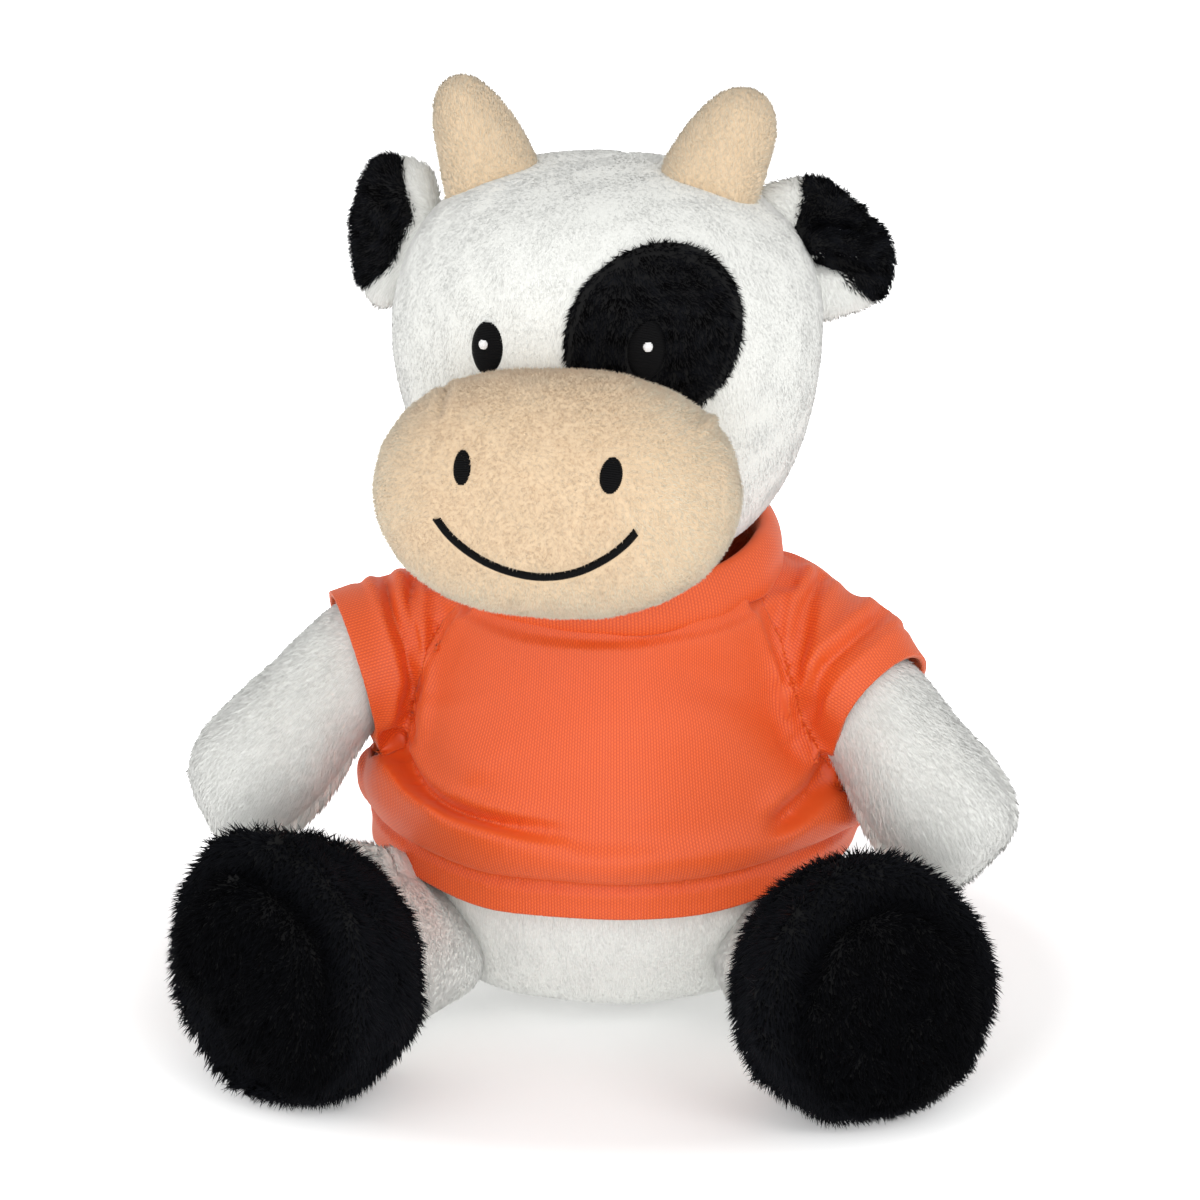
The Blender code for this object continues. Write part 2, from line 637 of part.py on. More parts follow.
def make_face():
    tilt = math.radians(PATCH_TILT_DEG)
    centre = (PATCH_CENTRE_X, PATCH_CENTRE_HEIGHT)
    patch_outline = outline_prism("patch_outline", oval_points(
        centre, PATCH_WIDTH, PATCH_TALL, OUTLINE_POINTS, tilt, PATCH_SQUARE_SHARE), FACE_REACH)
    patch = stitched("eye_patch", head_form, patch_outline, GAP, GAP + APPLIQUE, "black")
    trim = muzzle_form("face_trim", GAP)
    cut(patch, trim)
    for side, word in SIDES:
        lift = GAP + APPLIQUE if side > 0 else 0.0
        eye_centre = (side * EYE_SPREAD, EYE_HEIGHT)
        eye_outline = outline_prism(f"eye_{word}_outline", oval_points(
            eye_centre, EYE_WIDTH, EYE_TALL, SMALL_OUTLINE_POINTS), FACE_REACH)
        top = lift + GAP + THREAD
        cut(stitched(f"eye_{word}", head_form, eye_outline, lift + GAP, top, "thread"), trim)
        glint_outline = outline_prism(f"glint_{word}_outline", oval_points(
            eye_centre, GLINT_WIDTH, GLINT_WIDTH, SMALL_OUTLINE_POINTS), FACE_REACH)
        stitched(f"eye_glint_{word}", head_form, glint_outline, top + GAP, top + GAP + GLINT_THREAD,
                 "glint")
        nostril_outline = outline_prism(f"nostril_{word}_outline", oval_points(
            (side * NOSTRIL_SPREAD, NOSTRIL_HEIGHT), NOSTRIL_WIDTH, NOSTRIL_TALL,
            SMALL_OUTLINE_POINTS), FACE_REACH)
        stitched(f"nostril_{word}", muzzle_form, nostril_outline, GAP, GAP + THREAD, "thread")
    smile = outline_prism("smile_outline", smile_points(SMALL_OUTLINE_POINTS), FACE_REACH)
    stitched("smile_stitch", muzzle_form, smile, GAP, GAP + THREAD, "thread")


def arm_direction(side, right_drop_deg=ARM_DROP_RIGHT_DEG):
    drop = math.radians(ARM_DROP_LEFT_DEG if side > 0 else right_drop_deg)
    forward = math.radians(ARM_FORWARD_DEG)
    flat = math.cos(drop)
    return Vector((side * flat * math.cos(forward), -flat * math.sin(forward), -math.sin(drop)))


def club_rows(root_radius, width, length, shares, grow):
    """Rows of a limb: the round root about its joint, then the stuffed length."""
    rows = round_rows(root_radius + grow, 0.0, -1.0)
    for height, wide, deep, forward in shares:
        half = width / 2.0 + grow
        rows.append((height * (length + grow), wide * half, deep * half, forward * width))
    return rows


def arm_form(name, grow, root, owner=None, fine=True):
    rows = club_rows(ARM_RADIUS, ARM_WIDTH, ARM_LENGTH, ARM_SHARES, grow)
    return place(row_form(name, rows, owner, columns=SMALL_COLUMNS, fine=fine), root)


def body_beside_arm(name, side):
    """The clothed body as it presses on an arm, hollow where the arm's root turns."""
    body = shirt_surface(name, GAP, SHIRT_HEM_HEIGHT - GAP, SHIRT_NECK_HEIGHT + CUT_OVERRUN, True)
    return cut(body, root_room(f"{name}_room", ARM_RADIUS, shoulder_place(side)))


def make_arms():
    for side, word in SIDES:
        root = empty_at(f"shoulder_{word}", shoulder_place(side), towards(arm_direction(side)))
        skin = arm_form(f"arm_{word}_skin", 0.0, root, MATERIALS["white"])
        cavity = arm_form(f"arm_{word}_cavity", GAP - PLUSH, root, fine=False)
        half = ARM_RADIUS / 2.0
        mouth = tube(f"arm_{word}_mouth", half, half, -ARM_RADIUS - CUT_OVERRUN, 0.0)
        body = body_beside_arm(f"arm_{word}_body", side)
        cut(skin, cavity, place(mouth, root), body)
        cut(arm_form(f"arm_{word}_filling", -PLUSH, root, MATERIALS["fibre"], fine=False), body)


def leg_direction(side, rise_deg):
    splay = math.radians(LEG_SPLAY_DEG)
    rise = math.radians(rise_deg)
    flat = math.cos(rise)
    return Vector((side * flat * math.sin(splay), -flat * math.cos(splay), math.sin(rise)))


def leg_form(name, grow, root, owner=None, fine=True):
    rows = club_rows(HIP_RADIUS, LEG_WIDTH, LEG_LENGTH, LEG_SHARES, grow)
    return place(row_form(name, rows, owner, columns=SMALL_COLUMNS, fine=fine), root)


def foot_form(name, side, grow, owner=None, fine=True):
    sizes = (FOOT_WIDTH, FOOT_TALL, FOOT_LENGTH)
    form = row_form(name, share_rows(sizes, FOOT_SHARES, grow), owner, fine=fine)
    return place(form, at=foot_place(side), turn=towards(leg_direction(side, FOOT_RISE_DEG)))


def foot_place(side):
    """The back pole of a foot that presses a little into the floor."""
    flat = leg_direction(side, 0.0)
    middle = hip_place(side) + flat * FOOT_REACH
    middle.z = FOOT_TALL / 2.0 * FOOT_SWELL_SHARE - FLAT_DEPTH
    return middle - leg_direction(side, FOOT_RISE_DEG) * FOOT_LENGTH / 2.0


def body_beside_hip(name, side):
    """The body as a leg meets it over the leg's swing, hollow where the leg's root turns."""
    centre = hip_place(side)
    body = shirt_surface(name, GAP, SHIRT_HEM_HEIGHT - GAP, SHIRT_NECK_HEIGHT, True)
    for step, degrees in enumerate(HIP_SWINGS_DEG):
        swing = empty_at(f"{name}_swing_{step}", centre, Matrix.Rotation(math.radians(degrees), 3, "X"))
        torso = torso_form(f"{name}_torso_{step}", GAP)
        join(body, place(torso, swing, torso.location - centre))
    return cut(body, root_room(f"{name}_room", HIP_RADIUS, centre))


def make_legs(floor):
    for side, word in SIDES:
        body = body_beside_hip(f"leg_{word}_body", side)
        root = empty_at(f"hip_{word}", hip_place(side), towards(leg_direction(side, LEG_RISE_DEG)))
        outside = foot_form(f"foot_{word}_outside", side, GAP)
        skin = leg_form(f"leg_{word}_skin", 0.0, root, MATERIALS["white"])
        cavity = leg_form(f"leg_{word}_cavity", GAP - PLUSH, root, fine=False)
        half = HIP_RADIUS / 2.0
        mouth = tube(f"leg_{word}_mouth", half, half, -HIP_RADIUS - CUT_OVERRUN, 0.0)
        cut(skin, cavity, place(mouth, root), outside, body)
        filling = leg_form(f"leg_{word}_filling", -PLUSH, root, MATERIALS["fibre"], fine=False)
        cut(filling, outside, body)
        make_foot(side, word, floor)


def make_foot(side, word, floor):
    """The black upper, its sole panel and their filling."""
    frame = empty_at(f"foot_{word}_frame", foot_place(side), towards(leg_direction(side, FOOT_RISE_DEG)))
    seam = FOOT_LENGTH * FOOT_SOLE_SHARE
    reach = FOOT_LENGTH + CUT_OVERRUN
    beyond = block(f"foot_{word}_beyond", (-reach, -reach, seam - GAP), (reach, reach, reach + reach))
    before = block(f"foot_{word}_before", (-reach, -reach, -reach), (reach, reach, seam))
    cavity = foot_form(f"foot_{word}_cavity", side, GAP - PLUSH, fine=False)
    upper = foot_form(f"foot_{word}_skin", side, 0.0, MATERIALS["black"])
    cut(upper, place(beyond, frame), cavity, floor)
    sole = foot_form(f"foot_{word}_sole", side, 0.0, MATERIALS["black"])
    cut(sole, place(before, frame), cavity, floor)
    foot_form(f"foot_{word}_filling", side, -PLUSH, MATERIALS["fibre"], fine=False)


def make_tail():
    fall = math.radians(TAIL_FALL_DEG)
    along = Vector((0.0, math.cos(fall), -math.sin(fall)))
    root = empty_at("tail_root", (0.0, TAIL_BACK, TAIL_HEIGHT), towards(along))
    cord = ball("tail_cord", TAIL_RADIUS, MATERIALS["white"])
    length = tube("tail_length", TAIL_RADIUS * TAIL_TAPER_SHARE, TAIL_RADIUS * TAIL_TAPER_SHARE, 0.0, TAIL_LENGTH)
    join(place(cord, root), place(length, root))
    rows = share_rows((TUFT_WIDTH, TUFT_WIDTH, TUFT_LENGTH), TUFT_SHARES, 0.0)
    tuft = row_form("tail_tuft", rows, MATERIALS["black"], columns=SMALL_COLUMNS)
    place(tuft, root, (0.0, 0.0, TAIL_LENGTH + GAP))


def shirt_surface(name, grow, low, high, closed, owner=None):
    """The shirt's outer surface between two heights, open for cloth or closed for a cutter."""
    cage = bmesh.new()
    span = SHIRT_NECK_HEIGHT - SHIRT_HEM_HEIGHT
    rings = []
    for share, width_share, depth_share in SHIRT_SHARES:
        height = SHIRT_HEM_HEIGHT + share * span
        if share == SHIRT_SHARES[0][0]:
            height = low
        if share == SHIRT_SHARES[-1][0]:
            height = high
        ring = []
        for step in range(SHIRT_COLUMNS):
            angle = math.tau * step / SHIRT_COLUMNS
            x = math.cos(angle) * (SHIRT_WIDTH / 2.0 * width_share + grow)
            y = math.sin(angle) * (SHIRT_DEPTH / 2.0 * depth_share + grow)
            ring.append(cage.verts.new((x, y, height)))
        rings.append(ring)
    for lower, upper in zip(rings, rings[1:]):
        for step in range(SHIRT_COLUMNS):
            after = (step + 1) % SHIRT_COLUMNS
            cage.faces.new((lower[step], lower[after], upper[after], upper[step]))
    if closed:
        cage.faces.new(rings[0][::-1])
        cage.faces.new(rings[-1])
    mesh = bpy.data.meshes.new(name)
    cage.to_mesh(mesh)
    cage.free()
    return add_object(name, mesh, owner)


def shirt_inset(name):
    return shirt_surface(name, -KNIT, SHIRT_HEM_HEIGHT - CUT_OVERRUN, SHIRT_NECK_HEIGHT + CUT_OVERRUN, True)


def shirt_shell(name, owner):
    """The knit of the whole shirt body, one thickness inside its outer surface."""
    shell = shirt_surface(name, 0.0, SHIRT_HEM_HEIGHT, SHIRT_NECK_HEIGHT, True, owner)
    return cut(shell, shirt_inset(f"{name}_inside"))


def make_shirt():
    reach = SHIRT_WIDTH
    above = block("above_neckline", (-reach, -reach, -COLLAR_TALL / 2.0 - GAP), (reach, reach, reach))
    place_collar(above)
    for part, sign in (("front", -1.0), ("back", 1.0)):
        panel = shirt_shell(f"shirt_{part}", MATERIALS["knit"])
        near, far = sign * GAP / 2.0, sign * reach
        half = block(f"shirt_{part}_half", (-reach, min(near, far), 0.0), (reach, max(near, far), reach + reach))
        keep_within(panel, half)
        cut(panel, above)
        for side, word in SIDES:
            cut(panel, sleeve_cone(f"shirt_{part}_armhole_{word}", side, GAP, CUT_OVERRUN))
    for side, word in SIDES:
        sleeve = sleeve_cone(f"sleeve_{word}", side, 0.0, 0.0, MATERIALS["knit"])
        inner = sleeve_cone(f"sleeve_{word}_inner", side, -KNIT, CUT_OVERRUN)
        cut(sleeve, inner, shirt_inset(f"sleeve_{word}_inside"), above)
    make_collar()


def sleeve_cone(name, side, grow, overrun=0.0, owner=None):
    """The raglan sleeve round the arm, wide at the shoulder and narrow at its cuff."""
    cuff = ARM_WIDTH / 2.0 + SLEEVE_SLACK + KNIT
    root = cuff + SLEEVE_FLARE
    length = SLEEVE_LENGTH_LEFT if side > 0 else SLEEVE_LENGTH_RIGHT
    slope = SLEEVE_FLARE / (SLEEVE_ROOT + length)
    cone = tube(name, root + grow + slope * overrun, cuff + grow - slope * overrun,
                -SLEEVE_ROOT - overrun, length + overrun, owner)
    turn = towards(arm_direction(side, SLEEVE_DROP_RIGHT_DEG))
    return place(cone, at=shoulder_place(side), turn=turn)


def place_collar(thing):
    """The neckband leans forward about the middle of the neck."""
    lean = Matrix.Rotation(math.radians(COLLAR_TILT_DEG), 3, "X")
    return place(thing, at=(0.0, 0.0, COLLAR_HEIGHT), turn=lean)


def make_collar():
    """The rolled neckband: a ring whose inner edge the head presses on."""
    half = COLLAR_TALL / 2.0
    ring = tube("collar", COLLAR_RADIUS, COLLAR_RADIUS, -half, half, MATERIALS["knit"])
    inner = COLLAR_RADIUS - COLLAR_THICK
    hole = tube("collar_hole", inner, inner, -COLLAR_TALL, COLLAR_TALL)
    place_collar(ring)
    cut(ring, place_collar(hole), bpy.data.objects["head_outside"])


clear_scene()
TOY = new_collection("plush_cow")
CUTTERS = new_collection("cutters")
MATERIALS = {
    "white": cloth_material("white_plush", WHITE_PLUSH, 0.95),
    "black": cloth_material("black_plush", BLACK_PLUSH, 0.90),
    "peach": cloth_material("peach_plush", PEACH_PLUSH, 0.92),
    "knit": cloth_material("orange_knit", ORANGE_KNIT, 0.75),
    "fibre": cloth_material("fibre_filling", FIBRE, 1.0),
    "bag": cloth_material("pellet_bag_cloth", PELLET_CLOTH, 0.9),
    "thread": cloth_material("black_thread", BLACK_THREAD, 0.45),
    "glint": cloth_material("white_thread", WHITE_THREAD, 0.45),
}
HEAD = empty_at("neck_pivot", (0.0, 0.0, NECK_HEIGHT),
                Matrix.Rotation(math.radians(HEAD_TURN_DEG), 3, "Z"))
FLOOR = floor_cutter()
make_torso(FLOOR)
make_head()
make_ears()
make_face()
make_arms()
make_legs(FLOOR)
make_tail()
make_shirt()
weld_cuts()
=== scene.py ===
"""Looks of a plush cow that sits in a knitted shirt: stuffed forms, their pile, stitches and knit."""
import json
import math
from contextlib import contextmanager

import bmesh
import bpy
import numpy as np
from mathutils import Matrix, Vector
from mathutils.bvhtree import BVHTree

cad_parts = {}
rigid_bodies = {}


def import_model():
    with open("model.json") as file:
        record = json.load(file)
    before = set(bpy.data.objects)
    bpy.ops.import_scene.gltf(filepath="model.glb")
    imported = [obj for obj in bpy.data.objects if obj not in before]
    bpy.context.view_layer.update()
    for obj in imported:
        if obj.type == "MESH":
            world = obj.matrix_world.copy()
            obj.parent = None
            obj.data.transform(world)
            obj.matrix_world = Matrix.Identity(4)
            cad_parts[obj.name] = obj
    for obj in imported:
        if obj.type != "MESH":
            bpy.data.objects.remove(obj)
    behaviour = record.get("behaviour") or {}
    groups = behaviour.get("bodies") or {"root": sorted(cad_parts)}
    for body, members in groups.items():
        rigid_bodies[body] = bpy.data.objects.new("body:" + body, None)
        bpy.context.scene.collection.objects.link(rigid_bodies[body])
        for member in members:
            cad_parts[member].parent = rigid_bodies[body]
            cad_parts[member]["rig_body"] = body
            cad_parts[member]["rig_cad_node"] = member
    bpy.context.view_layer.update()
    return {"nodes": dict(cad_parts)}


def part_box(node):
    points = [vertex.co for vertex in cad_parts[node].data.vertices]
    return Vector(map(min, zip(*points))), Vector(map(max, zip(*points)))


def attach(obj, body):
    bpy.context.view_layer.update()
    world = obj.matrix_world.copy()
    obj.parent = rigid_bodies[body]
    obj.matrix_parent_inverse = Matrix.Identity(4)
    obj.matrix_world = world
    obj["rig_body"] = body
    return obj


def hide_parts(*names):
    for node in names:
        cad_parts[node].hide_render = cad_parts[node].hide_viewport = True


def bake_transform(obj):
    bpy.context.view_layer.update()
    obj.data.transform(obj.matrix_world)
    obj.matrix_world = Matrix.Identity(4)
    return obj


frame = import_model()

MM = 0.001

# The photograph's view: 6 degrees to the toy's left of its front, 17 degrees above the floor, 1.2 m away
VIEW_AZIMUTH = math.radians(6.0)
VIEW_ELEVATION = math.radians(17.0)
VIEW_DISTANCE = 1.2
PHOTO_SIDE = 1200.0
PX_PER_MM = 5.3
SEAT_PX = (612.0, 979.0)
SENSOR_MM = 36.0
FOCAL_PX = PX_PER_MM / MM * VIEW_DISTANCE
RIGHT = np.array((math.cos(VIEW_AZIMUTH), math.sin(VIEW_AZIMUTH), 0.0))
AHEAD = np.array((-math.sin(VIEW_AZIMUTH) * math.cos(VIEW_ELEVATION),
                  math.cos(VIEW_AZIMUTH) * math.cos(VIEW_ELEVATION), -math.sin(VIEW_ELEVATION)))
UP = np.cross(RIGHT, AHEAD)
EYE = -(RIGHT * (SEAT_PX[0] - PHOTO_SIDE / 2.0) * VIEW_DISTANCE / FOCAL_PX
        + UP * (PHOTO_SIDE / 2.0 - SEAT_PX[1]) * VIEW_DISTANCE / FOCAL_PX + AHEAD * VIEW_DISTANCE)

# The face looks 5 degrees further to the toy's right than the body
FACE_TURN = math.radians(-5.0)
FACE_SIDE = np.array((math.cos(FACE_TURN), math.sin(FACE_TURN), 0.0))
FACE_BACK = np.array((-math.sin(FACE_TURN), math.cos(FACE_TURN), 0.0))

# How deep each pile stands on its cloth
WHITE_DEPTH = 1.0 * MM
FOOT_DEPTH = 1.7 * MM
PEACH_DEPTH = 0.4 * MM
KNIT_THICKNESS = 1.1 * MM
FLOOR_CLEAR = 0.1 * MM
# A tuft's root lies this deep in the cloth, and none grows this deep inside a neighbour
ROOT_DEPTH = 0.25 * MM
BURIED = 0.7 * MM

STUFFING_STEPS = 20
STUFFING_PRESSURE = 4.0

# Real interlock has stitches of about 0.4 mm; they are drawn at 0.62 mm, so that they show
STITCH_PITCH = 0.62 * MM
THREAD_RADIUS = 0.17 * MM
SATIN_PITCH = 0.27 * MM

# Roots of the moving parts, and the middle and outward axis of each foot
SHOULDER = {"left": np.array((0.0315, -0.002, 0.0665)), "right": np.array((-0.0315, -0.002, 0.0665))}
HIP = {"left": (0.032, -0.0225, 0.0131), "right": (-0.032, -0.0225, 0.0131)}
FOOT = {"left": (np.array((0.0418, -0.0418, 0.0194)), np.array((0.4496, -0.8823, 0.1392))),
        "right": (np.array((-0.0418, -0.0418, 0.0194)), np.array((-0.4496, -0.8823, 0.1392)))}
TAIL_ROOT = (0.0, 0.036, 0.019)


def srgb(hex_colour):
    """A colour written as sRGB hex, turned to linear."""
    parts = [int(hex_colour[i:i + 2], 16) / 255.0 for i in (1, 3, 5)]
    return tuple(c / 12.92 if c <= 0.04045 else ((c + 0.055) / 1.055) ** 2.4 for c in parts) + (1.0,)


def feed(tree, node, inputs):
    """Give a node's inputs their values or the sockets that feed them."""
    for name, value in inputs.items():
        if isinstance(value, bpy.types.NodeSocket):
            tree.links.new(value, node.inputs[name])
        else:
            node.inputs[name].default_value = value


def add_node(tree, kind, inputs=None, **settings):
    """A shader node with its settings and its inputs."""
    node = tree.nodes.new(kind)
    for name, value in settings.items():
        setattr(node, name, value)
    feed(tree, node, inputs or {})
    return node


def new_material(name):
    material = bpy.data.materials.new(name)
    material.use_nodes = True
    return material, material.node_tree, material.node_tree.nodes["Principled BSDF"]


def new_object(name, data):
    thing = bpy.data.objects.new(name, data)
    bpy.context.scene.collection.objects.link(thing)
    return thing


def deselect():
    bpy.ops.object.select_all(action="DESELECT")


def activate(thing):
    deselect()
    thing.select_set(True)
    bpy.context.view_layer.objects.active = thing


@contextmanager
def in_edit(thing):
    """Edit mode with the whole mesh selected."""
    activate(thing)
    bpy.ops.object.mode_set(mode="EDIT")
    bpy.ops.mesh.select_all(action="SELECT")
    yield
    bpy.ops.object.mode_set(mode="OBJECT")


def applied(thing, kind, **settings):
    """Add a modifier and apply it."""
    activate(thing)
    modifier = thing.modifiers.new("Step", kind)
    for name, value in settings.items():
        setattr(modifier, name, value)
    bpy.ops.object.modifier_apply(modifier=modifier.name)


def joined(name, things):
    """Several objects as one mesh."""
    deselect()
    for thing in things:
        thing.select_set(True)
    bpy.context.view_layer.objects.active = things[0]
    if len(things) > 1:
        bpy.ops.object.join()
    whole = bpy.context.view_layer.objects.active
    whole.name = name
    whole.data.name = name
    return whole


def copy_of(name, *nodes):
    """Copies of CAD solids as one loose mesh at the origin."""
    copies = []
    for node in nodes:
        copy = frame["nodes"][node].copy()
        copy.data = copy.data.copy()
        copy.parent = None
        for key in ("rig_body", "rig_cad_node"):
            if key in copy:
                del copy[key]
        bpy.context.scene.collection.objects.link(copy)
        copies.append(copy)
    whole = joined(name, copies)
    whole.data.materials.clear()
    return whole


def even_skin(form, voxel, smooth, inset=0.0):
    """Remesh a closed form into even faces, soften it and draw it in."""
    applied(form, "REMESH", mode="VOXEL", voxel_size=voxel, use_smooth_shade=True)
    applied(form, "SMOOTH", factor=0.5, iterations=smooth)
    if inset:
        with in_edit(form):
            bpy.ops.transform.shrink_fatten(value=-inset)
    return form


def taut_form(name, nodes, inset, voxel, smooth=6):
    """The taut outside of stuffed solids, in even faces, a pile's depth inside them."""
    form = copy_of(name, *nodes)
    with in_edit(form):
        bpy.ops.mesh.remove_doubles(threshold=0.01 * MM)
        bpy.ops.mesh.convex_hull()
    return even_skin(form, voxel, smooth, inset)


def vertex_array(thing, kind="co"):
    vectors = np.empty(len(thing.data.vertices) * 3)
    thing.data.vertices.foreach_get(kind, vectors)
    return vectors.reshape(-1, 3)


def normal_array(thing):
    return vertex_array(thing, "normal")


def set_places(thing, places):
    thing.data.vertices.foreach_set("co", places.astype(np.float32).ravel())
    thing.data.update()


def stuff(caps):
    """Blow the stuffed forms up by the pressure of their filling, each no further than its cap."""
    scene = bpy.context.scene
    rest = {form: vertex_array(form) for form in caps}
    for form in caps:
        cloth = form.modifiers.new("Filling pressure", "CLOTH")
        cloth.settings.use_pressure = True
        cloth.settings.uniform_pressure_force = STUFFING_PRESSURE
        cloth.settings.effector_weights.gravity = 0.0
        cloth.point_cache.frame_end = STUFFING_STEPS
    scene.frame_start, scene.frame_end = 1, STUFFING_STEPS
    for step in range(1, STUFFING_STEPS + 1):
        scene.frame_set(step)
    for form, cap in caps.items():
        swollen = form.evaluated_get(bpy.context.evaluated_depsgraph_get())
        moved = vertex_array(swollen) - rest[form]
        length = np.linalg.norm(moved, axis=1, keepdims=True)
        form.modifiers.clear()
        set_places(form, rest[form] + moved * np.minimum(1.0, cap / np.maximum(length, 1e-12)))
        applied(form, "SMOOTH", factor=0.5, iterations=2)
    scene.frame_set(1)


def swell(form, amount):
    """Move a form's points along their normals, each by its own amount."""
    set_places(form, vertex_array(form) + normal_array(form) * amount[:, None])


def unit(vectors):
    return vectors / np.maximum(np.linalg.norm(vectors, axis=1, keepdims=True), 1e-12)


def smoothstep(share):
    share = np.clip(share, 0.0, 1.0)
    return share * share * (3.0 - 2.0 * share)


def in_photo(points):
    """Where points show in the photograph, in its pixels."""
    away = points - EYE
    depth = away @ AHEAD
    return np.stack((PHOTO_SIDE / 2.0 + FOCAL_PX * (away @ RIGHT) / depth,
                     PHOTO_SIDE / 2.0 - FOCAL_PX * (away @ UP) / depth), axis=1)


def photo_depth(point):
    return float((np.asarray(point) - EYE) @ AHEAD)


def at_photo(px, depth):
    """The point that shows at a pixel of the photograph and lies at a depth from its eye."""
    return EYE + AHEAD * depth + (RIGHT * (px[0] - PHOTO_SIDE / 2.0)
                                  - UP * (px[1] - PHOTO_SIDE / 2.0)) * depth / FOCAL_PX


def rounded_line(line):
    """A polyline with its corners cut twice."""
    line = np.asarray(line, dtype=float)
    for _ in range(2):
        a, b = line[:-1], line[1:]
        inner = np.stack((a * 0.75 + b * 0.25, a * 0.25 + b * 0.75), axis=1).reshape(-1, line.shape[1])
        line = np.vstack((line[:1], inner, line[-1:]))
    return line


def along_line(px, line):
    """Distance in metres of pixels from a line in the photograph, and their share of its length."""
    line = rounded_line(line)
    steps = np.linalg.norm(np.diff(line, axis=0), axis=1)
    far, share, run = np.full(len(px), 1e9), np.zeros(len(px)), 0.0
    for a, b, step in zip(line, line[1:], steps):
        t = np.clip((px - a) @ (b - a) / step ** 2, 0.0, 1.0)
        off = np.linalg.norm(px - (a + t[:, None] * (b - a)), axis=1)
        nearer = off < far
        far[nearer] = off[nearer]
        share[nearer] = (run + t * step)[nearer] / steps.sum()
        run += step
    return far / PX_PER_MM * MM, share


def facing(normals, side):
    """Weight of the side that the photograph shows, or of the far one."""
    return np.clip(0.5 - side * (normals @ AHEAD) * 4.0, 0.0, 1.0)


def press(form, line, width, height, side=1.0, taper=(0.2, 0.2), shoulder=0.0):
    """Raise or sink a form by millimetres along a line drawn over the photograph, as a finger or a seam does."""
    width, height = width * MM, height * MM
    places, normals = vertex_array(form), normal_array(form)
    far, share = along_line(in_photo(places), line)
    amount = height * np.exp(-(far / width) ** 2)
    amount -= shoulder * height * np.exp(-((far - 2.3 * width) / (1.2 * width)) ** 2)
    for end, length in ((share, taper[0]), (1.0 - share, taper[1])):
        if length:
            amount = amount * smoothstep(end / length)
    swell(form, amount * facing(normals, side))


def pull(form, line, shift, reach, side=1.0):
    """Drag part of a form by millimetres to the right, up and nearer in the photograph."""
    places, normals = vertex_array(form), normal_array(form)
    off, _ = along_line(in_photo(places), line)
    weight = np.exp(-(off / (reach * MM)) ** 2) * facing(normals, side)
    move = (RIGHT * shift[0] + UP * shift[1] - AHEAD * shift[2]) * MM
    set_places(form, places + weight[:, None] * move)


def band(form, point, normal, width, height, where=None):
    """A groove or ridge right round a form, in millimetres, where a plane meets it."""
    width, height = width * MM, height * MM
    places = vertex_array(form)
    off = (places - np.asarray(point)) @ unit(np.array([normal], dtype=float))[0]
    amount = height * np.exp(-(off / width) ** 2)
    if where is not None:
        amount = amount * where(places)
    swell(form, amount)


def ripples(points, wavelength, seed, waves=9):
    """Smooth, seeded noise in three channels: a sum of waves in random directions, about -1 to 1."""
    rng = np.random.default_rng(seed)
    total = np.zeros((len(points), 3))
    for _ in range(waves):
        heading = rng.normal(size=3)
        heading /= np.linalg.norm(heading)
        stretch = wavelength * rng.uniform(0.6, 1.7)
        phase = rng.uniform(0.0, math.tau, 3)
        total += np.sin((points @ heading / stretch)[:, None] * math.tau + phase)
    return total / math.sqrt(waves)


def rumple(form, wavelength, height, seed):
    """Slight unevenness of hand stuffing, in millimetres."""
    swell(form, ripples(vertex_array(form), wavelength * MM, seed)[:, 0] * (height * MM))


def scattered(skin, spacing, seed):
    """Seeded places on a skin, with their smooth normals, about one for each square of the spacing."""
    mesh = skin.data
    mesh.calc_loop_triangles()
    corners = np.empty(len(mesh.loop_triangles) * 3, dtype=np.int64)
    mesh.loop_triangles.foreach_get("vertices", corners)
    corners = corners.reshape(-1, 3)
    places, normals = vertex_array(skin), normal_array(skin)
    a, b, c = (places[corners[:, i]] for i in range(3))
    sums = np.cumsum(np.linalg.norm(np.cross(b - a, c - a), axis=1) / 2.0)
    count = int(sums[-1] / spacing ** 2)
    rng = np.random.default_rng(seed)
    chosen = np.searchsorted(sums, (np.arange(count) + rng.random(count)) / count * sums[-1])
    chosen = np.minimum(chosen, len(corners) - 1)
    u, v = rng.random(count), rng.random(count)
    over = u + v > 1.0
    u[over], v[over] = 1.0 - u[over], 1.0 - v[over]
    weights = np.stack((1.0 - u - v, u, v), axis=1)[:, :, None]
    at = (places[corners[chosen]] * weights).sum(axis=1)
    out = unit((normals[corners[chosen]] * weights).sum(axis=1))
    return at, out


def inside_of(points, forms, depth):
    """Which points lie more than a depth inside any of the forms."""
    hidden = np.zeros(len(points), dtype=bool)
    for form in forms:
        tree = tree_of(form)
        corners = vertex_array(form)
        low, high = corners.min(axis=0), corners.max(axis=0)
        near = np.all((points > low) & (points < high), axis=1) & ~hidden
        for index in np.flatnonzero(near):
            place = Vector(points[index])
            found, normal, _, _ = tree.find_nearest(place)
            if (place - found).dot(normal) < -depth:
                hidden[index] = True
    return hidden


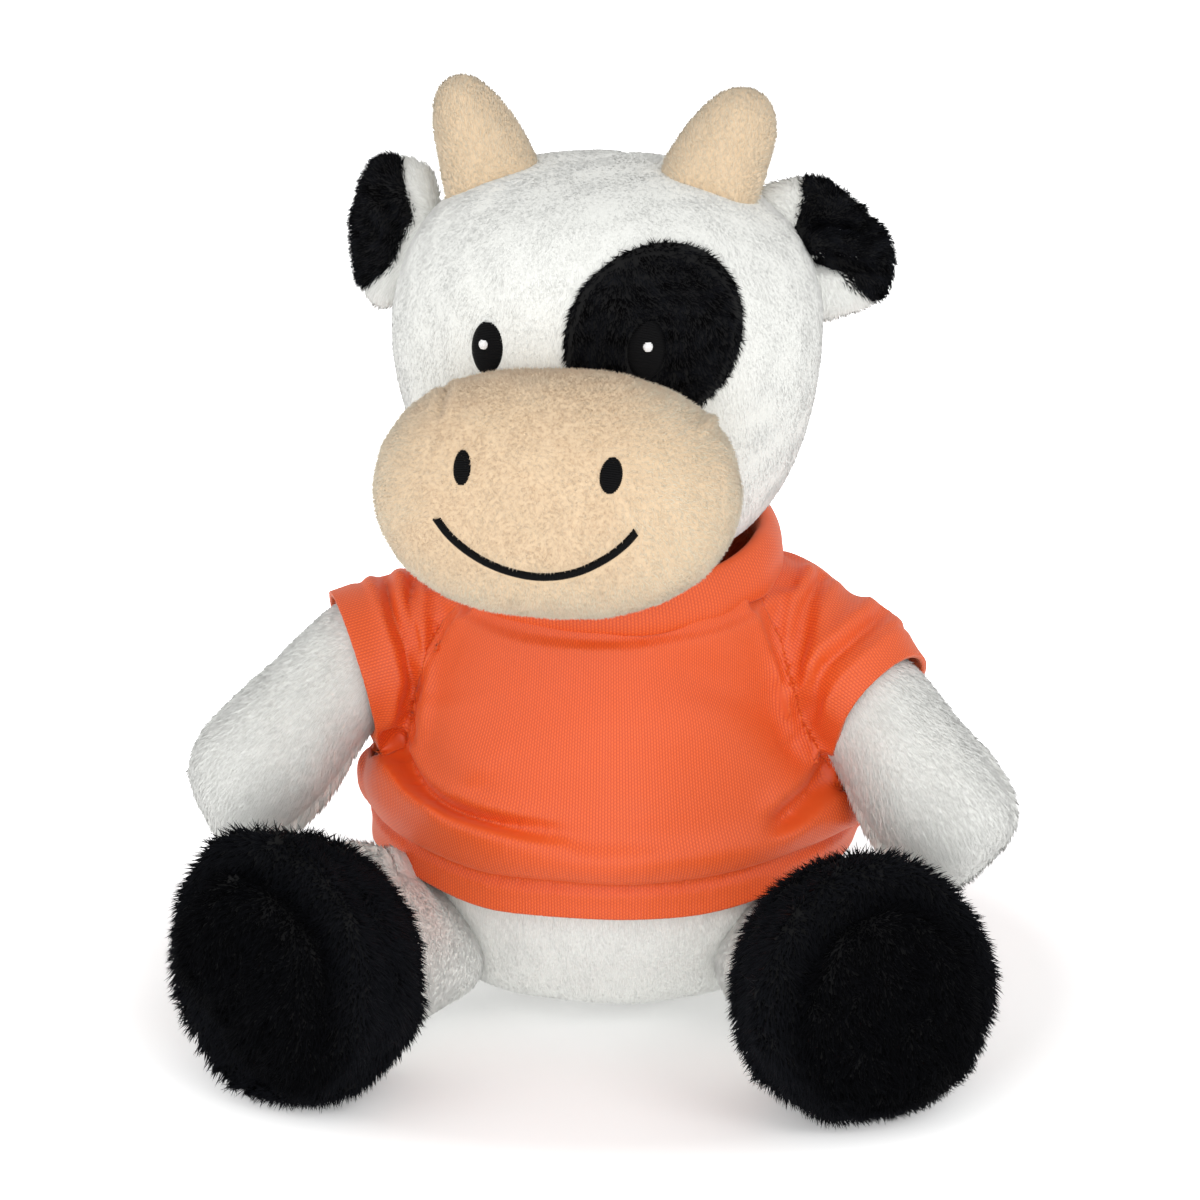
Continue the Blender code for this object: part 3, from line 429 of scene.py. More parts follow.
def tuft_mesh(name, rings, normals, tints):
    """A mesh of tapered tufts: each ring of three corners, then the tip; all share one small map."""
    segments, count = len(rings) - 1, len(rings[-1][0])
    each = 3 * segments + 1
    places = np.stack([corner for ring in rings for corner in ring], axis=1).reshape(-1, 3)
    own_normals = np.stack([corner for ring in normals for corner in ring], axis=1).reshape(-1, 3)
    first = (np.arange(count) * each)[:, None, None]
    last = 3 * (segments - 1)
    cone = first + np.array([[last + i, last + (i + 1) % 3, each - 1] for i in range(3)])
    groups = [(first + np.array([[0, 2, 1]])).reshape(-1, 3), cone.reshape(-1, 3)]
    for ring in range(segments - 1):
        low, high = 3 * ring, 3 * (ring + 1)
        wall = np.array([[low + i, low + (i + 1) % 3, high + (i + 1) % 3, high + i] for i in range(3)])
        groups.append((first + wall).reshape(-1, 4))
    mesh = bpy.data.meshes.new(name)
    sizes = np.concatenate([np.full(len(g), g.shape[1]) for g in groups]).astype(np.int32)
    corners = np.concatenate([g.ravel() for g in groups]).astype(np.int32)
    mesh.vertices.add(len(places))
    mesh.vertices.foreach_set("co", places.astype(np.float32).ravel())
    mesh.loops.add(len(corners))
    mesh.loops.foreach_set("vertex_index", corners)
    mesh.polygons.add(len(sizes))
    mesh.polygons.foreach_set("loop_start", np.concatenate(([0], np.cumsum(sizes)[:-1])).astype(np.int32))
    mesh.update(calc_edges=True)
    mesh.shade_smooth()
    mesh.normals_split_custom_set_from_vertices(own_normals.astype(np.float32))
    part = corners % each
    across = np.where(part == each - 1, 1, part % 3) - 1
    height = np.where(part == each - 1, segments, part // 3) / segments
    tint = tints[corners // each]
    places_on_map = np.stack((0.02 + 0.96 * tint + 0.004 * across, 0.02 + 0.96 * height), axis=1)
    mesh.uv_layers.new(name="OFBake").data.foreach_set("uv", places_on_map.astype(np.float32).ravel())
    return new_object(name, mesh)


def grow_pile(name, skin, body, slot, spacing, length, width, lean_deg, nap, seed, hidden_in=(), keep=None,
              softness=0.8, stray=0.2, swirl=0.3, swirl_size=9.0, segments=1, curl=0.0, tint=None, parts=1,
              unrest=1.0):
    """The pile of a plush, sized in millimetres: tapered tufts rooted in the skin, laid over along the nap.

    The tufts are several real fibres thick, so that they show.
    """
    spacing, length, width, swirl_size = (size * MM for size in (spacing, length, width, swirl_size))
    at, out = scattered(skin, spacing, seed)
    wanted = np.ones(len(at), dtype=bool) if keep is None else keep(at)
    at, out = at[wanted], out[wanted]
    wanted = ~inside_of(at, hidden_in, BURIED)
    at, out = at[wanted], out[wanted]
    count = len(at)
    rng = np.random.default_rng(seed + 1)
    flow = np.asarray(nap(at, out), dtype=float) + swirl * ripples(at, swirl_size, seed + 2)
    flow += stray * rng.normal(size=(count, 3))
    flow = unit(flow - (flow * out).sum(axis=1, keepdims=True) * out)
    lean = math.radians(lean_deg) + 0.12 * unrest * ripples(at, swirl_size * 0.6, seed + 3)[:, :1]
    lean = np.clip(lean + 0.1 * unrest * rng.normal(size=(count, 1)), 0.1, 1.42)
    heading = out * np.cos(lean) + flow * np.sin(lean)
    side = unit(np.cross(heading, out + 0.01 * rng.normal(size=(count, 3))))
    other = np.cross(heading, side)
    tall = length * rng.uniform(0.72, 1.12, (count, 1))
    half = width / 2.0 * rng.uniform(0.8, 1.2, (count, 1))
    turn = rng.uniform(0.0, math.tau, (count, 1))
    path, rings, normals = at - out * ROOT_DEPTH, [], []
    for ring in range(segments):
        spokes = [side * np.cos(turn + k * math.tau / 3.0) + other * np.sin(turn + k * math.tau / 3.0)
                  for k in range(3)]
        rings.append([path + spoke * half * (1.0 - 0.4 * ring / segments) for spoke in spokes])
        normals.append([unit(out * softness + spoke * (1.0 - softness)) for spoke in spokes])
        heading = unit(heading + curl * flow - 0.6 * curl * out)
        path = path + heading * tall / segments
    rings.append([path])
    normals.append([unit(out * softness + heading * (1.0 - softness))])
    for ring in rings:
        for corner in ring:
            corner[:, 2] = np.maximum(corner[:, 2], FLOOR_CLEAR)
    tints = rng.random(count) if tint is None else np.clip(tint(at) + 0.25 * (rng.random(count) - 0.5), 0.0, 1.0)
    middle = at.mean(axis=0)
    sector = np.floor((np.arctan2(at[:, 1] - middle[1], at[:, 0] - middle[0]) / math.tau + 0.5) * parts)
    for part in range(parts):
        chosen = np.minimum(sector, parts - 1) == part
        piece = tuft_mesh(f"{name}_{part + 1}" if parts > 1 else name,
                          [[corner[chosen] for corner in ring] for ring in rings],
                          [[corner[chosen] for corner in ring] for ring in normals], tints[chosen])
        piece.data.materials.append(PILES[slot])
        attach(piece, body)


def pile_material(name, root, tip, dark_root, dark_tip, sheen, sheen_tint, roughness=0.9, gloss=0.2):
    """Cut pile: each tuft is darker at its root, a painted shade; its own tint runs between a dark and a light kind.
    """
    material, tree, shader = new_material(name)
    placed = add_node(tree, "ShaderNodeUVMap", uv_map="OFBake")
    split = add_node(tree, "ShaderNodeSeparateXYZ", {0: placed.outputs[0]})
    dark, light = (add_node(tree, "ShaderNodeMix", {0: split.outputs["Y"], "A": srgb(low), "B": srgb(high)},
                            data_type="RGBA") for low, high in ((dark_root, dark_tip), (root, tip)))
    both = add_node(tree, "ShaderNodeMix", {0: split.outputs["X"], "A": dark.outputs["Result"],
                                            "B": light.outputs["Result"]}, data_type="RGBA")
    feed(tree, shader, {"Base Color": both.outputs["Result"], "Roughness": roughness, "Specular IOR Level": gloss,
                        "Sheen Weight": sheen, "Sheen Roughness": 0.5, "Sheen Tint": srgb(sheen_tint)})
    return material


def grained_material(name, light, dark, grain_mm, finish):
    """Cloth or thread in two tones with a fine grain, which is its fibres' or plies' real size."""
    material, tree, shader = new_material(name)
    place = add_node(tree, "ShaderNodeTexCoord")
    grain = add_node(tree, "ShaderNodeTexNoise", {"Vector": place.outputs["Object"], "Scale": 1.0 / (grain_mm * MM)})
    tone = add_node(tree, "ShaderNodeMix", {0: grain.outputs["Fac"], "A": srgb(dark), "B": srgb(light)},
                    data_type="RGBA")
    feed(tree, shader, {"Base Color": tone.outputs["Result"], **finish})
    return material


def knit_material(name, axis=None, centre=None, radius=45.0 * MM):
    """Fine polyester interlock: wales of small stitches, 0.62 mm apart, with painted highlight on their crowns and
    painted shade between them.
    """
    material, tree, shader = new_material(name)
    place = add_node(tree, "ShaderNodeTexCoord")
    source, out = place.outputs["Object"], place.outputs["Normal"]
    if axis is not None:
        turn = Vector(axis).to_track_quat("Z", "Y").to_matrix()
        moved = add_node(tree, "ShaderNodeVectorMath", {0: source, 1: tuple(centre)}, operation="SUBTRACT")
        across = [add_node(tree, "ShaderNodeVectorMath", {0: vector, 1: tuple(turn.col[column])},
                           operation="DOT_PRODUCT").outputs["Value"]
                  for vector, count in ((moved.outputs[0], 3), (out, 2)) for column in range(count)]
    else:
        across = [socket for vector in (source, out)
                  for socket in add_node(tree, "ShaderNodeSeparateXYZ", {0: vector}).outputs]
    made = dict(zip(("x", "y", "z", "facing x", "facing y"), across))
    wales = round(math.tau * radius / STITCH_PITCH)
    # Each step is its result, its operation and what it takes
    for result, operation, *taken in (
            ("turn", "ARCTAN2", "y", "x"),
            ("wale", "MULTIPLY", "turn", wales / math.tau),
            ("wale number", "FLOOR", "wale"),
            ("across wale", "FRACT", "wale"),
            ("off middle", "SUBTRACT", "across wale", 0.5),
            ("off middle", "ABSOLUTE", "off middle"),
            ("slant", "MULTIPLY", "off middle", 0.9),
            ("stagger", "MULTIPLY_ADD", "wale number", 0.5, "slant"),
            ("course", "MULTIPLY_ADD", "z", 1.0 / STITCH_PITCH, "stagger"),
            ("course", "MULTIPLY", "course", math.tau),
            ("crown", "SINE", "course"),
            ("crown", "MULTIPLY_ADD", "crown", 0.5, 0.5),
            ("crown", "MULTIPLY_ADD", "crown", 0.6, 0.4),
            ("groove", "MULTIPLY", "across wale", math.pi),
            ("groove", "SINE", "groove"),
            ("stitch", "MULTIPLY", "groove", "crown"),
            # Where the cloth lies square to the axis the wales close up, so the stitches fade into an even tone
            ("outwards", "MULTIPLY", "facing y", "y"),
            ("outwards", "MULTIPLY_ADD", "facing x", "x", "outwards"),
            ("outwards", "ABSOLUTE", "outwards"),
            ("reach", "MULTIPLY", "y", "y"),
            ("reach", "MULTIPLY_ADD", "x", "x", "reach"),
            ("reach", "SQRT", "reach"),
            ("clear", "DIVIDE", "outwards", "reach"),
            ("clear", "MULTIPLY_ADD", "clear", 2.2, -0.7),
            ("clear", "MAXIMUM", "clear", 0.0),
            ("clear", "MINIMUM", "clear", 1.0),
            ("stitch", "SUBTRACT", "stitch", 0.5),
            ("stitch", "MULTIPLY_ADD", "stitch", "clear", 0.5)):
        inputs = {slot: made[value] if isinstance(value, str) else value for slot, value in enumerate(taken)}
        made[result] = add_node(tree, "ShaderNodeMath", inputs, operation=operation).outputs[0]
    stitch = made["stitch"]
    # The stitch's height sets the colour: painted shade in the grooves and painted highlight on the crowns
    colour = add_node(tree, "ShaderNodeMix", {0: stitch, "A": srgb("#D2400A"), "B": srgb("#F86C22")},
                      data_type="RGBA")
    bump = add_node(tree, "ShaderNodeBump", {"Height": stitch, "Strength": 0.5, "Distance": 0.12 * MM})
    # A soft gloss on the crowns, and the pale rim of light that fine polyester shows
    feed(tree, shader, {"Base Color": colour.outputs["Result"], "Normal": bump.outputs[0], "Roughness": 0.52,
                        "Specular IOR Level": 0.6, "Sheen Weight": 0.3, "Sheen Roughness": 0.35,
                        "Sheen Tint": srgb("#FFC8AE")})
    return material


def camera_view():
    """The camera that sees the toy as the photograph does."""
    data = bpy.data.cameras.new("photo_view")
    camera = new_object("photo_view", data)
    turn = Matrix((RIGHT, UP, -AHEAD)).transposed().to_4x4()
    turn.translation = EYE
    camera.matrix_world = turn
    data.sensor_width = SENSOR_MM
    data.lens = FOCAL_PX / PHOTO_SIDE * SENSOR_MM
    data.clip_start = 0.05
    bpy.context.scene.camera = camera


def studio():
    """A white floor that keeps the toy's soft shadow and glows faintly onto the toy from below, a white room, a key
    lamp and two fills.
    """
    material, tree, shader = new_material("white_floor")
    feed(tree, shader, {"Base Color": srgb("#FFFFFF"), "Roughness": 0.9})
    place = add_node(tree, "ShaderNodeTexCoord")
    far = add_node(tree, "ShaderNodeVectorMath", {0: place.outputs["Object"]}, operation="LENGTH")
    edge = add_node(tree, "ShaderNodeMapRange", {"Value": far.outputs["Value"], "From Min": 0.06, "From Max": 0.17},
                    interpolation_type="SMOOTHSTEP")
    path = add_node(tree, "ShaderNodeLightPath")
    faint = add_node(tree, "ShaderNodeMath", {0: edge.outputs["Result"], 1: 0.11}, operation="MAXIMUM")
    # To the camera the floor turns white away from the toy; to every other ray it glows, a painted light from below
    # that lifts the toy's undersides
    seen = add_node(tree, "ShaderNodeMix", {0: path.outputs["Is Camera Ray"], 2: 0.15, 3: faint.outputs[0]})
    glow = add_node(tree, "ShaderNodeEmission", {"Color": srgb("#FFFFFF"), "Strength": 2.2})
    mixed = add_node(tree, "ShaderNodeMixShader", {0: seen.outputs[0], 1: shader.outputs[0], 2: glow.outputs[0]})
    tree.links.new(mixed.outputs[0], tree.nodes["Material Output"].inputs["Surface"])
    deselect()
    bpy.ops.mesh.primitive_circle_add(vertices=64, radius=1.5, fill_type="NGON")
    floor = bpy.context.active_object
    floor.name = "floor"
    floor.data.materials.append(material)
    world = bpy.data.worlds.new("white_room")
    bpy.context.scene.world = world
    world.use_nodes = True
    room = world.node_tree
    back = room.nodes["Background"]
    feed(room, back, {"Color": srgb("#FFFFFF"), "Strength": 0.72})
    seen = add_node(room, "ShaderNodeLightPath")
    white = add_node(room, "ShaderNodeBackground", {"Color": srgb("#FFFFFF"), "Strength": 1.0})
    both = add_node(room, "ShaderNodeMixShader",
                    {0: seen.outputs["Is Camera Ray"], 1: back.outputs[0], 2: white.outputs[0]})
    room.links.new(both.outputs[0], room.nodes["World Output"].inputs["Surface"])
    for name, place, aim, size, power in (
            ("key", (0.75, -0.75, 0.85), (0.0, 0.0, 0.08), 0.6, 3.1),
            ("fill", (-0.8, -0.6, 0.5), (0.0, 0.0, 0.08), 0.8, 1.5),
            ("low_fill", (0.0, -1.0, 0.06), (0.0, 0.0, 0.03), 0.9, 4.6)):
        data = bpy.data.lights.new(name, "AREA")
        data.size = size
        data.energy = power
        lamp = new_object(name, data)
        lamp.location = place
        lamp.rotation_euler = (Vector(aim) - Vector(place)).to_track_quat("-Z", "Y").to_euler()
    bpy.context.scene.view_settings.view_transform = "Standard"


def downwards(at, out):
    return np.tile((0.0, 0.0, -1.0), (len(at), 1))


def face_places(points):
    """Across and height of points in the face's own plane, and how far back they lie."""
    return np.stack((points @ FACE_SIDE, points[:, 2], points @ FACE_BACK), axis=1)


def in_oval(points, centre, width, tall, tilt_deg=0.0, square=2.0):
    """How far out of an oval on the face points lie: 1 at its edge."""
    flat = face_places(points)
    tilt = math.radians(tilt_deg)
    x, z = flat[:, 0] - centre[0], flat[:, 1] - centre[1]
    across = (x * math.cos(tilt) + z * math.sin(tilt)) / (width / 2.0)
    along = (-x * math.sin(tilt) + z * math.cos(tilt)) / (tall / 2.0)
    share = (np.abs(across) ** square + np.abs(along) ** square) ** (1.0 / square)
    return np.where(flat[:, 2] < 0.0, share, 9.0)


def on_face(tree, across, height, lift):
    """The point of the face at a place in its plane, lifted off the cloth."""
    start = Vector(FACE_SIDE * across - FACE_BACK * 0.09 + np.array((0.0, 0.0, height)))
    hit, normal, _, _ = tree.ray_cast(start, Vector(FACE_BACK))
    return hit + normal * lift


def threads(node, tree, paths, slot="black_thread"):
    """A node's stitches as round threads; a path's point is across, height and lift over the face's cloth."""
    name = node.removesuffix("_stitch") + "_stitches"
    curve = bpy.data.curves.new(name, "CURVE")
    curve.dimensions = "3D"
    curve.bevel_depth = THREAD_RADIUS
    curve.bevel_resolution = 1
    curve.use_fill_caps = True
    for path in paths:
        spline = curve.splines.new("POLY")
        spline.points.add(len(path) - 1)
        for point, place in zip(spline.points, path):
            point.co = (*on_face(tree, *place), 1.0)
    activate(new_object(name, curve))
    bpy.ops.object.convert(target="MESH")
    thing = bpy.context.active_object
    thing.name = name
    thing.data.shade_smooth()
    thing.data.materials.append(THREADS[slot])
    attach(thing, "head")
    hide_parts(node)


def satin_oval(centre, width, tall, pitch, lift, slant=0.0):
    """Paths of satin stitches laid side by side across an oval, plunging at its edge."""
    paths = []
    count = int(tall / pitch)
    for row in range(count):
        share = (row + 0.5) / count * 2.0 - 1.0
        half = width / 2.0 * math.sqrt(max(0.0, 1.0 - share * share))
        path = []
        for step in range(9):
            t = step / 4.0 - 1.0
            path.append((centre[0] + t * half, centre[1] + share * tall / 2.0 + slant * t * half,
                         lift + 0.35 * MM * (1.0 - share * share) * (1.0 - t * t) - 0.7 * MM * abs(t) ** 8))
        paths.append(path)
    return paths


def face_at(px, tree):
    """Across and height, in the face's plane, of the point that shows at a pixel of the photograph."""
    ray = at_photo(px, VIEW_DISTANCE) - EYE
    hit, _, _, _ = tree.ray_cast(Vector(EYE), Vector(ray).normalized())
    return float(np.array(hit) @ FACE_SIDE), hit.z


def tree_of(form):
    return BVHTree.FromObject(form, bpy.context.evaluated_depsgraph_get())


def ringed_form(name, rows, sides, axis=(0.0, 0.0, 1.0), centre=(0.0, 0.0, 0.0)):
    """A closed form of stacked ovals along an axis; a row is its height, half width and half depth."""
    deselect()
    bpy.ops.mesh.primitive_circle_add(vertices=sides, radius=1.0, fill_type="NGON", location=(0.0, 0.0, rows[0][0]))
    form = bpy.context.active_object
    form.name = name
    form.scale = (rows[0][1], rows[0][2], 1.0)
    bpy.ops.object.transform_apply(location=True, rotation=True, scale=True)
    with in_edit(form):
        for before, after in zip(rows, rows[1:]):
            bpy.ops.mesh.extrude_region_move(TRANSFORM_OT_translate={"value": (0.0, 0.0, after[0] - before[0])})
            bpy.ops.transform.resize(value=(after[1] / before[1], after[2] / before[2], 1.0),
                                     center_override=(0.0, 0.0, after[0]))
        bpy.ops.mesh.select_all(action="SELECT")
        bpy.ops.mesh.normals_make_consistent(inside=False)
    turn = Vector(axis).to_track_quat("Z", "Y").to_matrix().to_4x4()
    form.data.transform(Matrix.Translation(Vector(centre)) @ turn)
    return form


def depth_across(px, depth, yaw, middle):
    """Depth of a drawn form's middle sheet, which is turned by a share of its width."""
    return depth + yaw * (px - middle) / PX_PER_MM * MM


def drawn_form(name, line, depth, half, rim, voxel, yaw=0.0, middle=0.0, smooth=5):
    """A puffed form whose outline is drawn over the photograph: a slab, remeshed, thin at its rim."""
    line = rounded_line(line + line[:1])
    mesh = bpy.data.meshes.new(name)
    front = [at_photo(px, depth_across(px[0], depth, yaw, middle) - half) for px in line[:-1]]
    mesh.from_pydata([tuple(p) for p in front], [], [range(len(front))])
    form = new_object(name, mesh)
    with in_edit(form):
        bpy.ops.mesh.extrude_region_move(TRANSFORM_OT_translate={"value": tuple(AHEAD * half * 2.0)})
        bpy.ops.mesh.select_all(action="SELECT")
        bpy.ops.mesh.normals_make_consistent(inside=False)
    applied(form, "REMESH", mode="VOXEL", voxel_size=voxel, use_smooth_shade=True)
    places = vertex_array(form)
    px = in_photo(places)
    inward, _ = along_line(px, line)
    puffed = np.sqrt(1.0 - (1.0 - np.clip(inward / rim, 0.0, 1.0)) ** 2)
    off = (places - EYE) @ AHEAD - depth_across(px[:, 0], depth, yaw, middle)
    set_places(form, places + AHEAD * (off * puffed - off)[:, None])
    applied(form, "SMOOTH", factor=0.5, iterations=smooth)
    return form


@contextmanager
def opened(form):
    """The mesh of a form, open for changes."""
    shape = bmesh.new()
    shape.from_mesh(form.data)
    shape.faces.ensure_lookup_table()
    yield shape
    shape.to_mesh(form.data)
    shape.free()


def drop_flakes(shape):
    """Drop all but the largest connected part of a mesh."""
    left, parts = set(shape.faces), []
    while left:
        part = [left.pop()]
        for face in part:
            for edge in face.edges:
                for other in edge.link_faces:
                    if other in left:
                        left.discard(other)
                        part.append(other)
        parts.append(part)
    largest = max(parts, key=len)
    bmesh.ops.delete(shape, geom=[face for part in parts if part is not largest for face in part], context="FACES")


def cut_open(form, point, normal, reach=1.0, depth=1.0, spared=None):
    """Cut a form by a plane and drop what lies beyond it, within a reach of the point's axis and a depth.

    What lies on the spared surface stays.
    """
    point, normal = Vector(point), Vector(normal)
    with opened(form) as shape:
        bmesh.ops.bisect_plane(shape, geom=shape.verts[:] + shape.edges[:] + shape.faces[:], dist=0.05 * MM,
                               plane_co=point, plane_no=normal)
        beyond = []
        for face in shape.faces:
            off = face.calc_center_median() - point
            along = off.dot(normal)
            if 0.0 < along < depth and (off - normal * along).length < reach:
                if spared is None or spared.find_nearest(point + off)[3] > 1.7 * MM:
                    beyond.append(face)
        bmesh.ops.delete(shape, geom=beyond, context="FACES")
        drop_flakes(shape)


def score(form, point, normal, near):
    """Cut edges into the chosen faces of a form where a plane meets them."""
    with opened(form) as shape:
        chosen = [shape.faces[i] for i in np.flatnonzero(near)]
        parts = list({part for face in chosen for part in (face, *face.edges, *face.verts)})
        bmesh.ops.bisect_plane(shape, geom=parts, dist=0.08 * MM, plane_co=Vector(point),
                               plane_no=Vector(normal).normalized())


def face_centres(form):
    return np.array([face.center[:] for face in form.data.polygons])


def within(px, line):
    """Which pixels lie inside a closed outline."""
    inside = np.zeros(len(px), dtype=bool)
    for a, b in zip(line, line[1:] + line[:1]):
        crosses = (a[1] > px[:, 1]) != (b[1] > px[:, 1])
        with np.errstate(divide="ignore", invalid="ignore"):
            at = a[0] + (px[:, 1] - a[1]) * (b[0] - a[0]) / (b[1] - a[1] if b[1] != a[1] else 1e-9)
        inside ^= crosses & (px[:, 0] < at)
    return inside


def keep_faces(form, name, wanted):
    """A copy of a form with only the wanted faces."""
    piece = form.copy()
    piece.data = form.data.copy()
    piece.name = piece.data.name = name
    bpy.context.scene.collection.objects.link(piece)
    with opened(piece) as shape:
        bmesh.ops.delete(shape, geom=[shape.faces[i] for i in np.flatnonzero(~wanted)], context="FACES")
        drop_flakes(shape)
    return piece


def finished(form, slot, nodes, body=None, blend=None, paint=None):
    """A piece's material, its slot's backing unless it brings its own paint, and its body; the CAD nodes that it
    stands for are hidden. A piece with a blend is baked where it lies instead of joining a body.
    """
    form.data.materials.clear()
    form.data.materials.append(paint or BACKINGS[slot])
    form.data.shade_smooth()
    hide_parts(*nodes)
    if blend:
        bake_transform(form)
    else:
        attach(form, body)


camera_view()
studio()

# White plush: short bright fibres with painted shade at their roots, which gives soft grey hollows where the pile
# parts
WHITE = pile_material("white_cut_pile", "#F4F5F0", "#FDFDFA", "#F0F1EC", "#FAFBF7", 0.1, "#FFFFFF")
# Black plush: painted shade of deep black at the roots between the tufts, and cold, slightly glossy tips, whose paler
# light kind is a painted highlight that shows the lie of the pile
BLACK = pile_material("black_cut_pile", "#030304", "#2A2C32", "#000001", "#030304", 0.0, "#9A9AA4", 0.5, 0.03)
# Peach velvet: very short, with painted shade at the roots, and painted light in its tint: warm where the nap faces
# the light and paler where it turns away
PEACH = pile_material("peach_velvet", "#D2B392", "#F0D4B5", "#DED0B2", "#F6EBD6", 0.15, "#FFF4E4")
# Backing cloths: painted a shade deeper than the tufts, as the shade down between them, so that the pile looks thick,
# with a grain of 0.35 to 0.4 mm
CLOTH_FINISH = {"Roughness": 0.95, "Sheen Weight": 0.2}
WHITE_BACKING = grained_material("white_backing", "#F4F5F1", "#E2E3DD", 0.4, CLOTH_FINISH)
BLACK_BACKING = grained_material("black_backing", "#060607", "#020203", 0.4, {"Roughness": 0.95, "Sheen Weight": 0.0})
PEACH_BACKING = grained_material("peach_backing", "#E6CFB0", "#DABD98", 0.35, CLOTH_FINISH)
# Embroidery threads of rayon: a satin black that stands off the matt pile, and the white of the glints
RAYON_FINISH = {"Roughness": 0.55, "Specular IOR Level": 0.12}
THREADS = {"black_thread": grained_material("black_rayon", "#0A0A0C", "#030304", 0.25, RAYON_FINISH),
           "white_thread": grained_material("white_rayon", "#FFFFFF", "#E6E6E6", 0.25, RAYON_FINISH)}
PILES = {"white_plush": WHITE, "black_plush": BLACK, "black_long_plush": BLACK, "peach_plush": PEACH}
BACKINGS = {"white_plush": WHITE_BACKING, "black_plush": BLACK_BACKING, "black_long_plush": BLACK_BACKING,
            "peach_plush": PEACH_BACKING}

# Stuffed forms
head = taut_form("head_cloth", ["head_skin"], WHITE_DEPTH + 0.4 * MM, 2.2 * MM)
muzzle = taut_form("muzzle_cloth", ["muzzle_skin"], PEACH_DEPTH + 0.3 * MM, 1.9 * MM)
torso = taut_form("torso_cloth", ["torso_skin"], WHITE_DEPTH + 0.3 * MM, 2.3 * MM)
arms, legs, feet, horns = {}, {}, {}, {}
for word in ("left", "right"):
    arms[word] = taut_form(f"arm_{word}_cloth", [f"arm_{word}_skin"], WHITE_DEPTH + 0.3 * MM, 1.9 * MM)
    legs[word] = taut_form(f"leg_{word}_cloth", [f"leg_{word}_skin"], WHITE_DEPTH + 0.2 * MM, 1.9 * MM)
    feet[word] = taut_form(f"foot_{word}_cloth", [f"foot_{word}_skin", f"foot_{word}_sole"],
                           FOOT_DEPTH + 0.3 * MM, 2.0 * MM)
# Outlines in the photograph's pixels
HORNS = {
    "right": [(443, 184), (438, 156), (433, 129), (432, 105), (436, 86), (446, 75), (459, 70), (473, 73), (488, 84),
              (504, 101), (517, 119), (526, 136), (536, 156), (548, 192), (450, 222)],
    "left": [(664, 160), (671, 147), (681, 132), (691, 118), (704, 104), (719, 91), (736, 83), (753, 85), (767, 93),
             (775, 106), (778, 123), (775, 143), (769, 163), (762, 190), (745, 226), (655, 200)],
}
for word, line in HORNS.items():
    low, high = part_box(f"horn_{word}_skin")
    horns[word] = drawn_form(f"horn_{word}_cloth", line, photo_depth((np.array(low) + high) / 2.0) + 2.0 * MM,
                             7.5 * MM, 9.0 * MM, 1.3 * MM, smooth=8)
stuff({head: 0.8 * MM, muzzle: 0.6 * MM, torso: 0.6 * MM,
       **{form: 0.6 * MM for group in (arms, legs, feet) for form in group.values()}})
for form in (head, muzzle, torso, *arms.values(), *legs.values(), *feet.values(), *horns.values()):
    applied(form, "SUBSURF", levels=1, render_levels=1)

# Hand stuffing, seams and darts
rumple(head, 26.0, 0.25, 3)
rumple(muzzle, 18.0, 0.25, 4)
rumple(torso, 22.0, 0.3, 5)
for seed, form in enumerate((*arms.values(), *legs.values(), *feet.values())):
    rumple(form, 16.0, 0.2, 60 + seed)
band(head, (0.0, 0.0, 0.0), FACE_SIDE, 0.6, -0.7, lambda p: smoothstep((p @ FACE_BACK) / 0.012))
press(muzzle, [(446, 388), (441, 405), (436, 422)], 0.8, -0.9, shoulder=0.4, taper=(0.0, 0.4))
press(muzzle, [(724, 404), (712, 420), (698, 438)], 0.9, 0.9, shoulder=0.4, taper=(0.1, 0.4))
for word, (pole, axis) in FOOT.items():
    top = np.array((0.45, 0.0, 0.9)) if word == "right" else np.array((0.1, 0.0, 1.0))
    for along, width, height, least in ((0.0290, 2.2, 2.0, 0.25), (0.0335, 1.6, -2.4, 0.2)):
        band(feet[word], pole + axis * along, axis, width, height,
             lambda p: least + (1.0 - least) * smoothstep(0.5 + (p - pole) @ top / 0.026))
for side in (1.0, -1.0):
    for form, line, shift, reach in (
            (arms["right"], [(255, 820), (320, 795)], (0.3, -2.6, 0.0), 13.0),
            (arms["right"], [(205, 720), (250, 665)], (-0.3, 0.9, 0.0), 9.0),
            (arms["left"], [(870, 830), (930, 868)], (-0.4, -2.4, 0.0), 13.0),
            (arms["left"], [(985, 760), (1010, 820)], (1.3, 0.3, 0.0), 10.0),
            (feet["right"], [(200, 1030), (235, 1085)], (6.2, 0.6, 0.0), 10.0),
            (feet["right"], [(365, 1075), (395, 1040)], (1.4, -0.6, 0.0), 10.0),
            (feet["right"], [(185, 880), (230, 848)], (-0.7, 0.9, 0.0), 9.0),
            (feet["right"], [(240, 850), (340, 850)], (0.2, 2.0, 0.0), 12.0),
            (feet["right"], [(405, 920), (408, 1000)], (1.2, 0.0, 0.0), 11.0),
            (feet["right"], [(270, 1085), (350, 1085)], (0.0, -1.2, 2.8), 11.0),
            (legs["right"], [(345, 882), (385, 874)], (-0.8, 4.6, -2.0), 11.0),
            (legs["left"], [(780, 880), (810, 872)], (0.0, 2.0, 0.0), 12.0),
            (feet["left"], [(748, 940), (752, 1040)], (-1.6, 0.0, 0.0), 11.0),
            (feet["left"], [(790, 885), (880, 885)], (0.0, 2.0, 0.0), 12.0),
            (feet["left"], [(765, 1080), (820, 1120)], (-1.0, -1.2, 0.0), 9.0)):
        pull(form, line, shift, reach, side)

